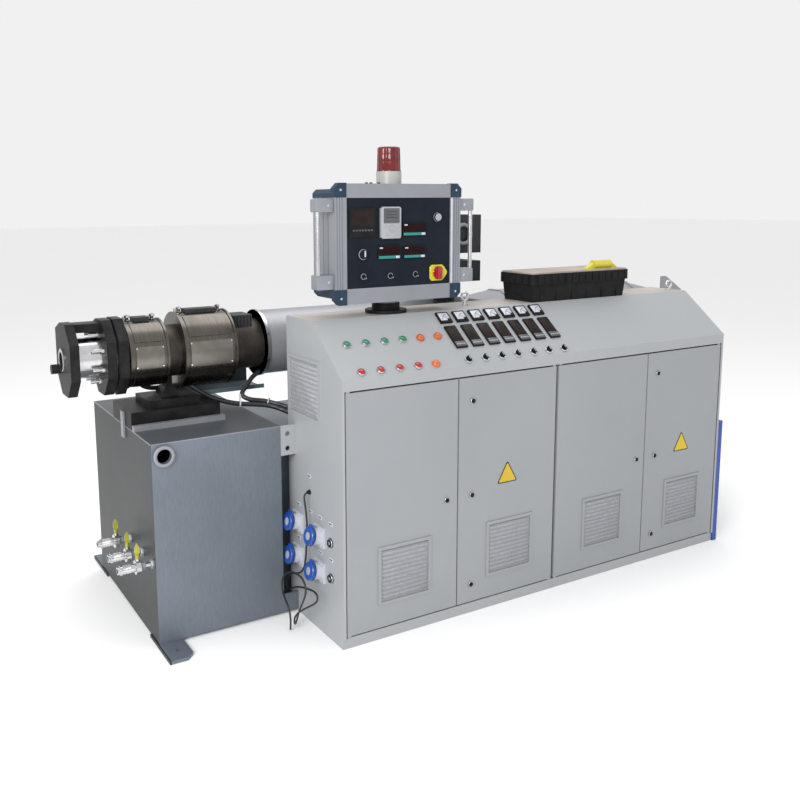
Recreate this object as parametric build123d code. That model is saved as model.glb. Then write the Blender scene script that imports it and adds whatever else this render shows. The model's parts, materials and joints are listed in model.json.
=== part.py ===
"""Plastic extruder: a long control cabinet in front, the barrel with its heaters and the drive behind.

Sizes are in millimetres. Pieces are placed from the cabinet's front left floor corner: X runs along
the machine, Y into its depth and Z up. save() then moves them to the part's own frame, whose origin
is on the floor under the middle of the cabinet.
"""
from build123d import *
import math
import os

os.makedirs("parts", exist_ok=True)

# Cabinet body
CABINET_LENGTH = 1880.0
CABINET_DEPTH = 403.0
CABINET_HEIGHT = 1100.0
PLINTH_HEIGHT = 38.0
PLINTH_WALL = 40.0
PLINTH_SETBACK = 6.0
SHEET = 2.0
CONSOLE_RISE = 170.0
CONSOLE_RUN = 212.0
LIP_HEIGHT = 39.0
FRONT_RETURN = 10.0
OVERRUN = 5.0

# Front frame behind the doors
FRAME_GAP = 5.0
FRAME_BAR = 30.0
END_POST = 36.0
MIDDLE_POST = 50.0
SILL_HEIGHT = 40.0
HEADER_HEIGHT = 44.0

# Doors, from left to right
DOOR_SPLIT_SHARES = (0.2505, 0.4963, 0.7559)
DOOR_FLOOR_GAP = 7.0
DOOR_TOP_GAP = 6.0
DOOR_THICKNESS = 20.0
DOOR_SETBACK = 2.0
DOOR_SIDE_GAP = 5.0
DOOR_GAP = 5.0
TWIN_GAP = 14.0
PIN_INSET = 9.0
PIN_DEPTH = 7.0
PIN_RADIUS = 3.0
PIN_CLEARANCE = 0.08
PIN_LENGTH = 12.0
PIN_BRACKET = 3.0
PIN_BRACKET_WIDTH = 14.0
PIN_GAP = 1.0

# Louvre grilles
VENT_WIDTH = 220.0
VENT_HEIGHT = 211.0
VENT_RISE = 80.0
VENT_SHIFTS = (4.0, 13.0, 13.0, 15.0)
VENT_FRAME = 12.0
VENT_PROUD = 4.0
VENT_PITCH = 15.5
SLAT_THICKNESS = 1.6
SLAT_ANGLE = 35.0
SIDE_VENT_FRONT = 150.0
SIDE_VENT_WIDTH = 235.0
SIDE_VENT_DROP = 133.0
SIDE_VENT_HEIGHT = 217.0

# Door locks
LOCK_RADIUS = 9.0
LOCK_PROUD = 5.0
LOCK_BODY_RADIUS = 7.0
LOCK_BODY_LENGTH = 22.0
LOCK_FROM_EDGE = (46.5, 59.5, 44.5, 57.5)
LOCK_MIDDLE_RISE = 408.0
LOCK_UPPER_DROP = 85.0
LOCK_LOWER_RISE = 68.0
LOCK_TAB_LENGTH = 34.0
LOCK_TAB_WIDTH = 12.0
LOCK_TAB_THICKNESS = 3.0

# Console instruments: places are along the cabinet and up the slope from the lip
METER_COUNT = 7
METER_FIRST_X = 530.0
METER_PITCH = 74.0
METER_SIZE = 52.0
METER_FROM_RIDGE = 42.0
METER_PROUD = 8.0
METER_BODY = 44.0
METER_DEPTH = 45.0
CONTROLLER_WIDTH = 48.0
CONTROLLER_HEIGHT = 106.0
CONTROLLER_FROM_RIDGE = 138.0
CONTROLLER_PROUD = 7.0
CONTROLLER_BODY_WIDTH = 42.0
CONTROLLER_BODY_HEIGHT = 92.0
CONTROLLER_DEPTH = 70.0
SELECTOR_FIRST_X = 522.0
SELECTOR_PITCH = 75.0
LOWER_ROW_S = 22.0
UPPER_ROW_S = 146.0
BUTTON_FIRST_X = 82.0
BUTTON_PITCH = 75.0
BEZEL_RADIUS = 14.5
BEZEL_PROUD = 4.0
BEZEL_LIP = 3.0
SHANK_RADIUS = 11.0
SHANK_LENGTH = 38.0
CAP_RADIUS = 10.5
CAP_PROUD = 6.0
CAP_SEAT = 1.5
KNOB_RADIUS = 11.0
KNOB_PROUD = 16.0
KNOB_GRIP = 7.0
UPPER_ROW_KINDS = "GGGGOO"
LOWER_ROW_KINDS = "RRRRO"

# Left end sockets, rotary knobs and cord gland
SOCKET_YS = (163.0, 329.0)
SOCKET_ZS = (226.0, 353.0)
SOCKET_FLANGE = 72.0
SOCKET_FLANGE_THICKNESS = 8.0
SOCKET_BODY_RADIUS = 29.0
SOCKET_BODY_LENGTH = 30.0
SOCKET_CAP_RADIUS = 33.0
SOCKET_CAP_LENGTH = 12.0
SOCKET_CAP_EDGE = 3.0
SOCKET_HINGE_WIDTH = 20.0
SOCKET_HINGE_RISE = 7.0
SOCKET_TILT = 12.0
SIDE_KNOB_Y = 86.0
SIDE_KNOB_RADIUS = 13.0
SIDE_KNOB_FLANGE = 17.0
SIDE_KNOB_FLANGE_THICKNESS = 3.0
SIDE_KNOB_LENGTH = 9.0
GLAND_RADIUS = 8.0
GLAND_LENGTH = 4.0

# Eye bolts
EYE_FIRST = (720.0, 302.0)
EYE_SECOND_FROM_END = 30.0
EYE_SECOND_Y = 278.0
EYE_RING_RADIUS = 15.5
EYE_BAR_RADIUS = 5.0
EYE_STEM_RADIUS = 6.0
EYE_FIRST_STEM = 16.0
EYE_SECOND_STEM = 6.0
EYE_COLLAR_RADIUS = 12.0
EYE_COLLAR_HEIGHT = 4.0

# Swivelling control box on its pedestal
BOX_LEFT = 87.0
BOX_WIDTH = 526.0
BOX_FRONT = 193.0
BOX_DEPTH = 157.0
BOX_LIFT = 49.0
BOX_HEIGHT = 412.0
BOX_RIM_DEPTH = 24.0
BOX_RIM_STEP = 20.0
BOX_SIDE_BAR = 45.0
BOX_TOP_BAR = 47.0
BOX_BOTTOM_BAR = 52.0
BOX_BEVEL = 18.0
BOX_CORNER_PROUD = 2.0
BOX_LIP = 1.5
BOX_PANEL_RECESS = 3.0
BOX_PANEL_THICKNESS = 4.0
GROOVE_WIDTH = 3.0
GROOVE_DEPTH = 2.0
GROOVE_FRONT_SHARES = (0.2, 0.42, 0.64)
GROOVE_SIDE_SHARES = (0.3, 0.52, 0.74)
HANDLE_REACH = 66.0
HANDLE_BAR_WIDTH = 18.0
HANDLE_BAR_DEPTH = 28.0
HANDLE_SETBACK = 7.0
HANDLE_BRACKET_DEPTH = 44.0
HANDLE_UPPER_BRACKET = 44.0
HANDLE_LOWER_BRACKET = 50.0
HANDLE_SLANT = 18.0
HANDLE_UPPER_DROP = 52.0
HANDLE_LOWER_RISE = 54.0
SWIVEL_FROM_FRONT = 97.0
PEDESTAL_FLANGE_RADIUS = 76.0
PEDESTAL_FLANGE = 12.0
PEDESTAL_RADIUS = 51.0
PEDESTAL_HEIGHT = 36.0
NECK_RADIUS = 46.0
SWIVEL_GAP = 0.3
BEACON_FROM_FRONT = 75.0
BEACON_RADIUS = 45.0
BEACON_BASE_TOP = 44.0
BEACON_LENS_FOOT_RADIUS = 43.0
BEACON_LENS_RADIUS = 40.0
BEACON_LENS_HEIGHT = 86.0
BEACON_DOME = 6.0

# Instruments of the control box: left and right from the box's left side, low and high from its foot
MODULE_PLACE = (56.0, 162.0, 229.0, 329.0)
KEYPAD_PLACE = (179.0, 263.0, 222.0, 333.0)
DISPLAY_PLACES = ((274.0, 372.0, 229.0, 276.0), (171.0, 263.0, 150.0, 198.0), (277.0, 370.0, 150.0, 195.0))
MODULE_PROUD = 4.0
KEYPAD_PROUD = 10.0
KEYPAD_CORNER = 8.0
DISPLAY_PROUD = 5.0
TOGGLE_PLACES = ((111.0, 94.0), (221.0, 92.0), (327.0, 93.0))
TOGGLE_RADIUS = 9.0
TOGGLE_PROUD = 5.0
TOGGLE_LEVER = 12.0
TOGGLE_LEVER_WIDTH = 6.0
DIAL_PLACES = ((112.0, 170.0), (423.0, 294.0))
DIAL_RADIUS = 15.0
DIAL_PROUD = 10.0
DIAL_RIM = 2.5
DIAL_RIM_RADIUS = 18.0
SWITCH_X = 423.0
SWITCH_Z = 94.0
SWITCH_PLATE_RADIUS = 38.0
SWITCH_NOSE_RADIUS = 10.0
SWITCH_NOSE_REACH = 44.0
SWITCH_PLATE = 3.0
SWITCH_KNOB_RADIUS = 22.0
SWITCH_KNOB_LENGTH = 20.0
SWITCH_GRIP = 16.0
SWITCH_GRIP_LENGTH = 54.0

# Lidded case on the cabinet's top
CASE_LEFT = 994.0
CASE_LENGTH = 500.0
CASE_FRONT_GAP = 7.0
CASE_DEPTH = 170.0
CASE_HEIGHT = 72.0
CASE_RIM_PROUD = 18.0
CASE_RIM_HEIGHT = 40.0
CASE_LID = 6.0
CASE_DRAFT = 6.0
GRIP_LEFT = 345.0
GRIP_LENGTH = 97.0
GRIP_RADIUS = 17.5
GRIP_FROM_FRONT = 26.0
GRIP_WING_LENGTH = 36.0
GRIP_WING_DEPTH = 24.0
GRIP_SEAT = 3.0

# Machine base behind and to the left of the cabinet
BASE_GAP = 60.0
BASE_LENGTH = 471.0
BASE_FORWARD = 61.0
BASE_DEPTH = 758.0
BASE_LIFT = 12.0
BASE_TOP = 713.0
BASE_WALL = 5.0
TIE_HEIGHT = 110.0
TIE_LOW_TOP = 79.0
TIE_HOLE_FROM_CABINET = 33.0
TIE_HOLE_DROPS = (31.0, 85.0)
HOLE_RADIUS = 9.0
BED_RIGHT = 2290.0
BED_GAP = 37.0
BED_DEPTH = 560.0
BED_TOP = 640.0
FOOT_LENGTH = 88.0
FOOT_OUT = 130.0
FOOT_UNDER = 90.0
FOOT_PROUD = 4.0
FOOT_BEVEL = 26.0
FOOT_HOLE_RADIUS = 9.0
FOOT_HOLE_IN = 49.0
FOOT_HOLE_OUT = 69.0
PORT_FROM_LEFT = 41.0
PORT_DROP = 42.0
PORT_RADIUS = 36.0
PORT_BORE = 25.0
PORT_LENGTH = 14.0

# Ball valves on the base's left end
VALVE_FROM_FRONT = (27.0, 147.0, 295.0)
VALVE_Z = 293.0
VALVE_PIPE_RADIUS = 8.0
VALVE_DISC_AT = 54.0
VALVE_DISC_RADIUS = 24.0
VALVE_DISC_LENGTH = 16.0
VALVE_NIPPLE_RADIUS = 13.0
VALVE_NIPPLE_BORE = 9.0
VALVE_REACH = 122.0
VALVE_BOSS_RADIUS = 7.0
VALVE_BOSS_HEIGHT = 30.0
VALVE_PIN_RADIUS = 3.5
VALVE_PIN_LENGTH = 12.0
LEVER_CLEARANCE = 0.05
LEVER_HUB_HEIGHT = 14.0
LEVER_HUB_RADIUS = 6.5
LEVER_HEIGHT = 46.0
LEVER_WIDTH = 17.0
LEVER_THICKNESS = 5.0
LEVER_SHOULDER_SHARES = (0.3, 0.62)

# Barrel line
BARREL_BEHIND = 277.0
AXIS_Z = 965.0
BARREL_RADIUS = 95.0
FLANGE_LEFT = -724.0
FLANGE_THICKNESS = 32.0
FLANGE_WIDTH = 222.0
FLANGE_HEIGHT = 254.0
FLANGE_CORNER = 66.0
LUG_CORNER = (77.0, 27.0)
DIE_RING_RADIUS = 40.0
DIE_RING_PROUD = 8.0
DIE_BORE = 26.0
STUB_PLACE = (46.0, -38.0)
STUB_RADIUS = 17.0
STUB_LENGTH = 34.0
ADAPTER_RADIUS = 72.0
ADAPTER_LENGTH = 92.0
SPACER_WIDTH = 70.0
SPACER_LOW = 94.0
SPACER_HIGH = 124.0
CLAMP_PLATE = 34.0
CLAMP_GROOVE = 8.0
CLAMP_GROOVE_RADIUS = 90.0
CLAMP_WIDTH = 222.0
CLAMP_HEIGHT = 266.0
CLAMP_CORNER = 70.0
CLAMP_STEP = 4.0
BOLT_COUNT = 8
BOLT_CIRCLE = 88.0
BOLT_RADIUS = 7.0
BOLT_LENGTH = 42.0
NUT_RADIUS = 11.0
NUT_LENGTH = 12.0
HEATER_ONE_LEFT = -521.0
HEATER_ONE_LENGTH = 139.0
HEATER_ONE_RADIUS = 120.0
HEATER_TWO_LEFT = -329.0
HEATER_TWO_LENGTH = 199.0
HEATER_TWO_RADIUS = 137.5
BEAD_WIDTH = 8.0
BEAD_PROUD = 4.0
PAD_PROUD = 3.0
PAD_MARGIN = 18.0
PAD_SPAN_DEGREES = 41.0
PAD_PITCH_DEGREES = 47.0
POST_RADIUS = 6.0
POST_HEIGHT = 20.0
POST_INSET = 24.0
HEATER_BOX_WIDTH = 56.0
HEATER_BOX_HEIGHT = 12.0
HEATER_BOX_MARGIN = 42.0
TERMINAL_LEFT = -118.0
TERMINAL_LENGTH = 78.0
TERMINAL_FRONT = 62.0
TERMINAL_BACK = 40.0
TERMINAL_LOW = 54.0
TERMINAL_HIGH = 118.0
TERMINAL_RIB = 4.0
TERMINAL_RIB_COUNT = 6
SHROUD_LEFT = -5.0
SHROUD_RIGHT = 800.0
SHROUD_RADIUS = 124.0
SHROUD_RING = 12.0
SHROUD_RING_PROUD = 4.0

# Barrel support and drip tray on the base
RAIL_LENGTH = 340.0
RAIL_FROM_FRONT = 191.0
RAIL_SIZE = 20.0
STOP_FROM_FRONT = 303.0
STOP_WIDTH = 30.0
STOP_THICKNESS = 7.0
STOP_BELOW = 45.0
STOP_ABOVE = 51.0
SLIDE_LENGTH = 330.0
SLIDE_FROM_FRONT = 218.0
SLIDE_DEPTH = 240.0
SLIDE_HEIGHT = 62.0
SADDLE_LENGTH = 190.0
SADDLE_DEPTH = 170.0
SADDLE_HEIGHT = 26.0
STAND_LEFT = -372.0
STAND_LENGTH = 24.0
STAND_DEPTH = 50.0
STAND_FOOT_LENGTH = 84.0
STAND_FOOT_DEPTH = 80.0
STAND_FOOT_HEIGHT = 34.0
TRAY_LEFT = -330.0
TRAY_RIGHT = 20.0
TRAY_FROM_AXIS = (25.0, 150.0)
TRAY_DROP = 177.0
TRAY_FRONT_LIP = 16.0
TRAY_BACK_LIP = 66.0
TRAY_GAP = 2.0
TRAY_LEG_RADIUS = 4.0
TRAY_LEG_X = -209.0
TRAY_LEG_IN = (14.0, 44.0)

# Conduits: centre line points along X, behind the cabinet's back and up
CONDUIT_RADIUS = 9.0
CONDUIT_FRONT = (
    (-301.0, 237.0, 852.0), (-276.0, 231.0, 825.0), (-209.0, 209.0, 779.0), (-126.0, 177.0, 755.0),
    (-62.0, 159.0, 750.0), (-2.0, 137.0, 742.0), (48.0, 87.0, 719.0), (74.0, 34.0, 704.0),
    (78.0, -6.0, 701.0),
)
CONDUIT_DROP = (
    (-5.0, 237.0, 856.0), (-34.0, 232.0, 846.0), (-66.0, 219.0, 812.0), (-100.0, 206.0, 782.0),
    (-72.0, 185.0, 762.0), (-18.0, 170.0, 757.0), (44.0, 124.0, 737.0), (88.0, 62.0, 722.0),
    (99.0, -6.0, 719.0),
)
CONDUIT_REAR = (
    (-466.0, 296.0, 862.0), (-448.0, 300.0, 838.0), (-408.0, 311.0, 823.0), (-366.0, 332.0, 818.0),
    (-348.0, 374.0, 814.0), (-346.0, 391.0, 796.0), (-346.0, 392.0, 770.0),
)

# Feed section and drive
THROAT_LENGTH = 210.0
THROAT_DEPTH = 260.0
THROAT_TOP = 1078.0
FEEDER_X = 895.0
FEEDER_NECK_RADIUS = 46.0
FEEDER_WIDTH = 222.0
FEEDER_LOWER_BOTTOM = 1162.0
FEEDER_LOWER_TOP = 1249.0
FEEDER_UPPER_BOTTOM = 1283.0
FEEDER_UPPER_TOP = 1444.0
FEEDER_RING_SHIFT = 10.0
FEEDER_RING_RADIUS = 46.0
FEEDER_RING_WALL = 12.0
FEEDER_RING_PROUD = 10.0
COVER_LEFT = 1020.0
COVER_RIGHT = 2200.0
COVER_FROM_AXIS = (120.0, 200.0)
COVER_EAVES = 1040.0
COVER_RIDGE = 1096.0
COVER_END_RUN = 190.0
COVER_SIDE_RUN = 120.0
COVER_RIBS = (1150.0, 2080.0)
COVER_RIB_COUNT = 7
COVER_RIB_WIDTH = 16.0
COVER_RIB_PROUD = 4.0
END_PLATE_LEFT = 2060.0
END_PLATE_PEAK = 2094.0
END_PLATE_RIGHT = 2207.0
END_PLATE_TOP = 1135.0
END_PLATE_SHOULDER = 1065.0
END_PLATE_BEHIND = 97.0

# Blue strip on the cabinet's right end
STRIP_THICKNESS = 26.0
STRIP_DEPTH = 40.0
STRIP_HEIGHT = 545.0

# Hanging cord: out of its gland, down, through its loops to its bare end above the floor
CORD_RADIUS = 3.5
CORD_POINTS = (
    (-4.0, 236.0, 490.0), (-13.0, 236.0, 490.0), (-20.5, 236.0, 485.0), (-24.0, 235.0, 476.0),
    (-24.0, 233.0, 460.0), (-22.0, 228.0, 432.0), (-20.0, 224.0, 390.0), (-20.0, 226.0, 345.0),
    (-20.0, 231.0, 298.0), (-21.0, 235.0, 252.0), (-25.0, 240.0, 212.0), (-30.0, 264.0, 184.0),
    (-32.0, 301.0, 170.0), (-34.0, 338.0, 155.0), (-37.0, 364.0, 136.0), (-40.0, 368.0, 112.0),
    (-43.0, 350.0, 97.0), (-46.0, 318.0, 104.0), (-48.0, 284.0, 126.0), (-48.0, 246.0, 144.0),
    (-47.0, 200.0, 158.0), (-46.0, 156.0, 168.0), (-47.0, 118.0, 175.0), (-50.0, 94.0, 172.0),
    (-53.0, 89.0, 156.0), (-56.0, 106.0, 138.0), (-59.0, 142.0, 114.0), (-61.0, 187.0, 84.0),
    (-63.0, 224.0, 56.0), (-67.0, 241.0, 34.0), (-72.0, 234.0, 17.0), (-77.0, 214.0, 23.0),
    (-80.0, 195.0, 50.0), (-81.0, 176.0, 88.0), (-81.0, 150.0, 126.0), (-81.0, 127.0, 162.0),
    (-81.0, 118.0, 192.0), (-81.0, 130.0, 213.0), (-80.0, 156.0, 222.0), (-78.0, 190.0, 220.0),
    (-77.0, 226.0, 213.0), (-77.0, 262.0, 200.0), (-78.0, 292.0, 181.0), (-80.0, 310.0, 155.0),
    (-84.0, 307.0, 128.0), (-88.0, 285.0, 108.0), (-92.0, 254.0, 96.0), (-94.0, 229.0, 79.0),
    (-95.0, 216.0, 54.0), (-96.0, 213.0, 30.0), (-96.0, 216.0, 8.0),
)
CORD_SHARE = 0.45
CONDUIT_SHARE = 0.45

# Places that follow from the sizes above
LIP_TOP = CABINET_HEIGHT - CONSOLE_RISE
LIP_BOTTOM = LIP_TOP - LIP_HEIGHT
DOOR_BOTTOM = PLINTH_HEIGHT + DOOR_FLOOR_GAP
DOOR_TOP = LIP_BOTTOM - DOOR_TOP_GAP
SLOPE_LENGTH = math.hypot(CONSOLE_RUN, CONSOLE_RISE)
SLOPE_ANGLE = math.degrees(math.atan2(CONSOLE_RISE, CONSOLE_RUN))
METER_S = SLOPE_LENGTH - METER_FROM_RIDGE
CONTROLLER_S = SLOPE_LENGTH - CONTROLLER_FROM_RIDGE
BOX_RIGHT = BOX_LEFT + BOX_WIDTH
BOX_BOTTOM = CABINET_HEIGHT + BOX_LIFT
BOX_TOP = BOX_BOTTOM + BOX_HEIGHT
BOX_MIDDLE = BOX_LEFT + BOX_WIDTH / 2
SWIVEL_Y = BOX_FRONT + SWIVEL_FROM_FRONT
PANEL_FACE = BOX_FRONT + BOX_PANEL_RECESS
BASE_RIGHT = -BASE_GAP
BASE_LEFT = BASE_RIGHT - BASE_LENGTH
BASE_FRONT = CABINET_DEPTH - BASE_FORWARD
BASE_BACK = BASE_FRONT + BASE_DEPTH
BED_FRONT = CABINET_DEPTH + BED_GAP
BED_BACK = BED_FRONT + BED_DEPTH
AXIS_Y = CABINET_DEPTH + BARREL_BEHIND
ADAPTER_LEFT = FLANGE_LEFT + FLANGE_THICKNESS
CLAMP_LEFT = ADAPTER_LEFT + ADAPTER_LENGTH
BARREL_LEFT = CLAMP_LEFT + 2 * CLAMP_PLATE + CLAMP_GROOVE
SLIDE_TOP = BASE_TOP + SLIDE_HEIGHT
SADDLE_TOP = SLIDE_TOP + SADDLE_HEIGHT
CASE_RIM_TOP = CABINET_HEIGHT + CASE_HEIGHT + CASE_RIM_HEIGHT
SHIFT = Pos(-CABINET_LENGTH / 2, -CABINET_DEPTH / 2, 0)


def save(name, *shapes):
    """Write one node: its solids moved to the part's own frame."""
    solids = []
    for shape in shapes:
        solids.extend((SHIFT * shape).solids())
    export_step(Compound(children=solids), "parts/" + name + ".step")


def block(x, y, z):
    """A box given by its low and high place along each axis."""
    centre = Pos((x[0] + x[1]) / 2, (y[0] + y[1]) / 2, (z[0] + z[1]) / 2)
    return centre * Box(x[1] - x[0], y[1] - y[0], z[1] - z[0])


def rod_x(x, y, z, radius):
    """A cylinder along X between two places."""
    return Pos((x[0] + x[1]) / 2, y, z) * Rot(0, 90, 0) * Cylinder(radius, x[1] - x[0])


def rod_y(x, y, z, radius):
    """A cylinder along Y between two places."""
    return Pos(x, (y[0] + y[1]) / 2, z) * Rot(90, 0, 0) * Cylinder(radius, y[1] - y[0])


def rod_z(x, y, z, radius):
    """A cylinder along Z between two heights."""
    return Pos(x, y, (z[0] + z[1]) / 2) * Cylinder(radius, z[1] - z[0])


def front_plate(points, front, back):
    """A flat piece with its outline in X and Z, between two depths."""
    place = Plane(origin=(0, back, 0), x_dir=(1, 0, 0), z_dir=(0, -1, 0))
    return extrude(place * make_face(Polyline(*points, close=True)), back - front)


def on_slope(x, s):
    """The frame on the console's slope: X along the cabinet, Y up the slope, Z out of it."""
    rise = math.radians(SLOPE_ANGLE)
    return Pos(x, s * math.cos(rise), LIP_TOP + s * math.sin(rise)) * Rot(SLOPE_ANGLE, 0, 0)


def louvre(width, height):
    """A grille: a raised frame with slanted slats, its back on the plane Z = 0, centred on the origin."""
    middle = Pos(0, 0, VENT_PROUD / 2)
    inner_width, inner_height = width - 2 * VENT_FRAME, height - 2 * VENT_FRAME
    frame = middle * Box(width, height, VENT_PROUD)
    frame -= middle * Box(inner_width, inner_height, VENT_PROUD + OVERRUN)
    count = round(inner_height / VENT_PITCH)
    pitch = inner_height / count
    slat_depth = VENT_PROUD / math.sin(math.radians(SLAT_ANGLE))
    slats = []
    for index in range(count):
        y = -inner_height / 2 + (index + 1 / 2) * pitch
        slats.append(Pos(0, y, VENT_PROUD / 2) * Rot(SLAT_ANGLE, 0, 0) * Box(
            inner_width + SLAT_THICKNESS, slat_depth, SLAT_THICKNESS))
    keep = middle * Box(width, height, VENT_PROUD)
    return frame + (Compound(children=slats) & keep).solids()


def build_cabinet():
    """Plinth, floor, front frame, side panels with the tie plate, and the back and top sheets."""
    plinth = block((0, CABINET_LENGTH), (PLINTH_SETBACK, CABINET_DEPTH), (0, PLINTH_HEIGHT))
    bay = (CABINET_LENGTH - 3 * PLINTH_WALL) / 2
    for left in (PLINTH_WALL, 2 * PLINTH_WALL + bay):
        plinth -= block((left, left + bay), (PLINTH_SETBACK + PLINTH_WALL, CABINET_DEPTH - PLINTH_WALL),
                        (-OVERRUN, PLINTH_HEIGHT + OVERRUN))
    frame_front = DOOR_SETBACK + DOOR_THICKNESS + FRAME_GAP
    frame_y = (frame_front, frame_front + FRAME_BAR)
    inner_x = (SHEET, CABINET_LENGTH - SHEET)
    floor_z = (PLINTH_HEIGHT, PLINTH_HEIGHT + SHEET)
    save("cabinet_floor", plinth + block(inner_x, (frame_front, CABINET_DEPTH - SHEET), floor_z))

    sill_z = (floor_z[1], floor_z[1] + SILL_HEIGHT)
    header_z = (LIP_BOTTOM - HEADER_HEIGHT, LIP_BOTTOM)
    frame = block(inner_x, frame_y, sill_z) + block(inner_x, frame_y, header_z)
    post_z = (sill_z[0], header_z[1])
    frame += block((SHEET, SHEET + END_POST), frame_y, post_z)
    for split in door_splits():
        frame += block((split - MIDDLE_POST / 2, split + MIDDLE_POST / 2), frame_y, post_z)
    frame += block((CABINET_LENGTH - SHEET - END_POST, CABINET_LENGTH - SHEET), frame_y, post_z)
    save("front_frame", frame)

    outline = Polyline((0, PLINTH_HEIGHT), (0, LIP_TOP), (CONSOLE_RUN, CABINET_HEIGHT),
                       (CABINET_DEPTH, CABINET_HEIGHT), (CABINET_DEPTH, PLINTH_HEIGHT), close=True)
    side = extrude(Plane.YZ * make_face(outline), SHEET)
    side += block((0, FRONT_RETURN), (0, SHEET), (PLINTH_HEIGHT, LIP_BOTTOM))
    vent_top = CABINET_HEIGHT - SIDE_VENT_DROP
    vent_z = (vent_top - SIDE_VENT_HEIGHT + VENT_FRAME, vent_top - VENT_FRAME)
    vent_y = (SIDE_VENT_FRONT + VENT_FRAME, SIDE_VENT_FRONT + SIDE_VENT_WIDTH - VENT_FRAME)
    side -= block((-OVERRUN, SHEET + OVERRUN), vent_y, vent_z)
    vent_place = Plane(origin=(0, sum(vent_y) / 2, sum(vent_z) / 2), x_dir=(0, -1, 0), z_dir=(-1, 0, 0))
    side += vent_place * louvre(SIDE_VENT_WIDTH, SIDE_VENT_HEIGHT)
    tie = block((BASE_RIGHT, 0), (BASE_FRONT, BASE_FRONT + BASE_WALL), (BASE_TOP - TIE_HEIGHT, BASE_TOP))
    for drop in TIE_HOLE_DROPS:
        tie -= rod_y(-TIE_HOLE_FROM_CABINET, (BASE_FRONT - OVERRUN, BASE_FRONT + BASE_WALL + OVERRUN),
                     BASE_TOP - drop, HOLE_RADIUS)
    save("side_panels", side + tie, mirror(side, Plane.YZ.offset(CABINET_LENGTH / 2)))

    back = block(inner_x, (CABINET_DEPTH - SHEET, CABINET_DEPTH), (PLINTH_HEIGHT, CABINET_HEIGHT))
    back += block(inner_x, (CONSOLE_RUN, CABINET_DEPTH), (CABINET_HEIGHT - SHEET, CABINET_HEIGHT))
    save("back_and_top", back)
    save("end_strip", block((CABINET_LENGTH, CABINET_LENGTH + STRIP_THICKNESS), (0, STRIP_DEPTH),
                            (0, STRIP_HEIGHT)))


def meter_places():
    """Places of the meters and controllers along the cabinet."""
    return [METER_FIRST_X + index * METER_PITCH for index in range(METER_COUNT)]


def selector_places():
    """Places of the selector knobs along the cabinet."""
    return [SELECTOR_FIRST_X + index * SELECTOR_PITCH for index in range(METER_COUNT)]


def button_places(kind):
    """Places of the push buttons or lamps of one colour, given by its letter."""
    rows = ((UPPER_ROW_KINDS, UPPER_ROW_S), (LOWER_ROW_KINDS, LOWER_ROW_S))
    return [(BUTTON_FIRST_X + index * BUTTON_PITCH, s)
            for kinds, s in rows for index, letter in enumerate(kinds) if letter == kind]


def round_places():
    """Every round console instrument."""
    buttons = [place for kind in "GRO" for place in button_places(kind)]
    return buttons + [(x, LOWER_ROW_S) for x in selector_places()]


def console_holes():
    """The cut-outs of the console sheet, one for each instrument."""
    depth = 2 * (SHEET + OVERRUN)
    holes = []
    for x in meter_places():
        holes.append(on_slope(x, METER_S) * Box(METER_BODY, METER_BODY, depth))
        holes.append(on_slope(x, CONTROLLER_S) * Box(CONTROLLER_BODY_WIDTH, CONTROLLER_BODY_HEIGHT, depth))
    for x, s in round_places():
        holes.append(on_slope(x, s) * Cylinder(SHANK_RADIUS, depth))
    return holes


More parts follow.
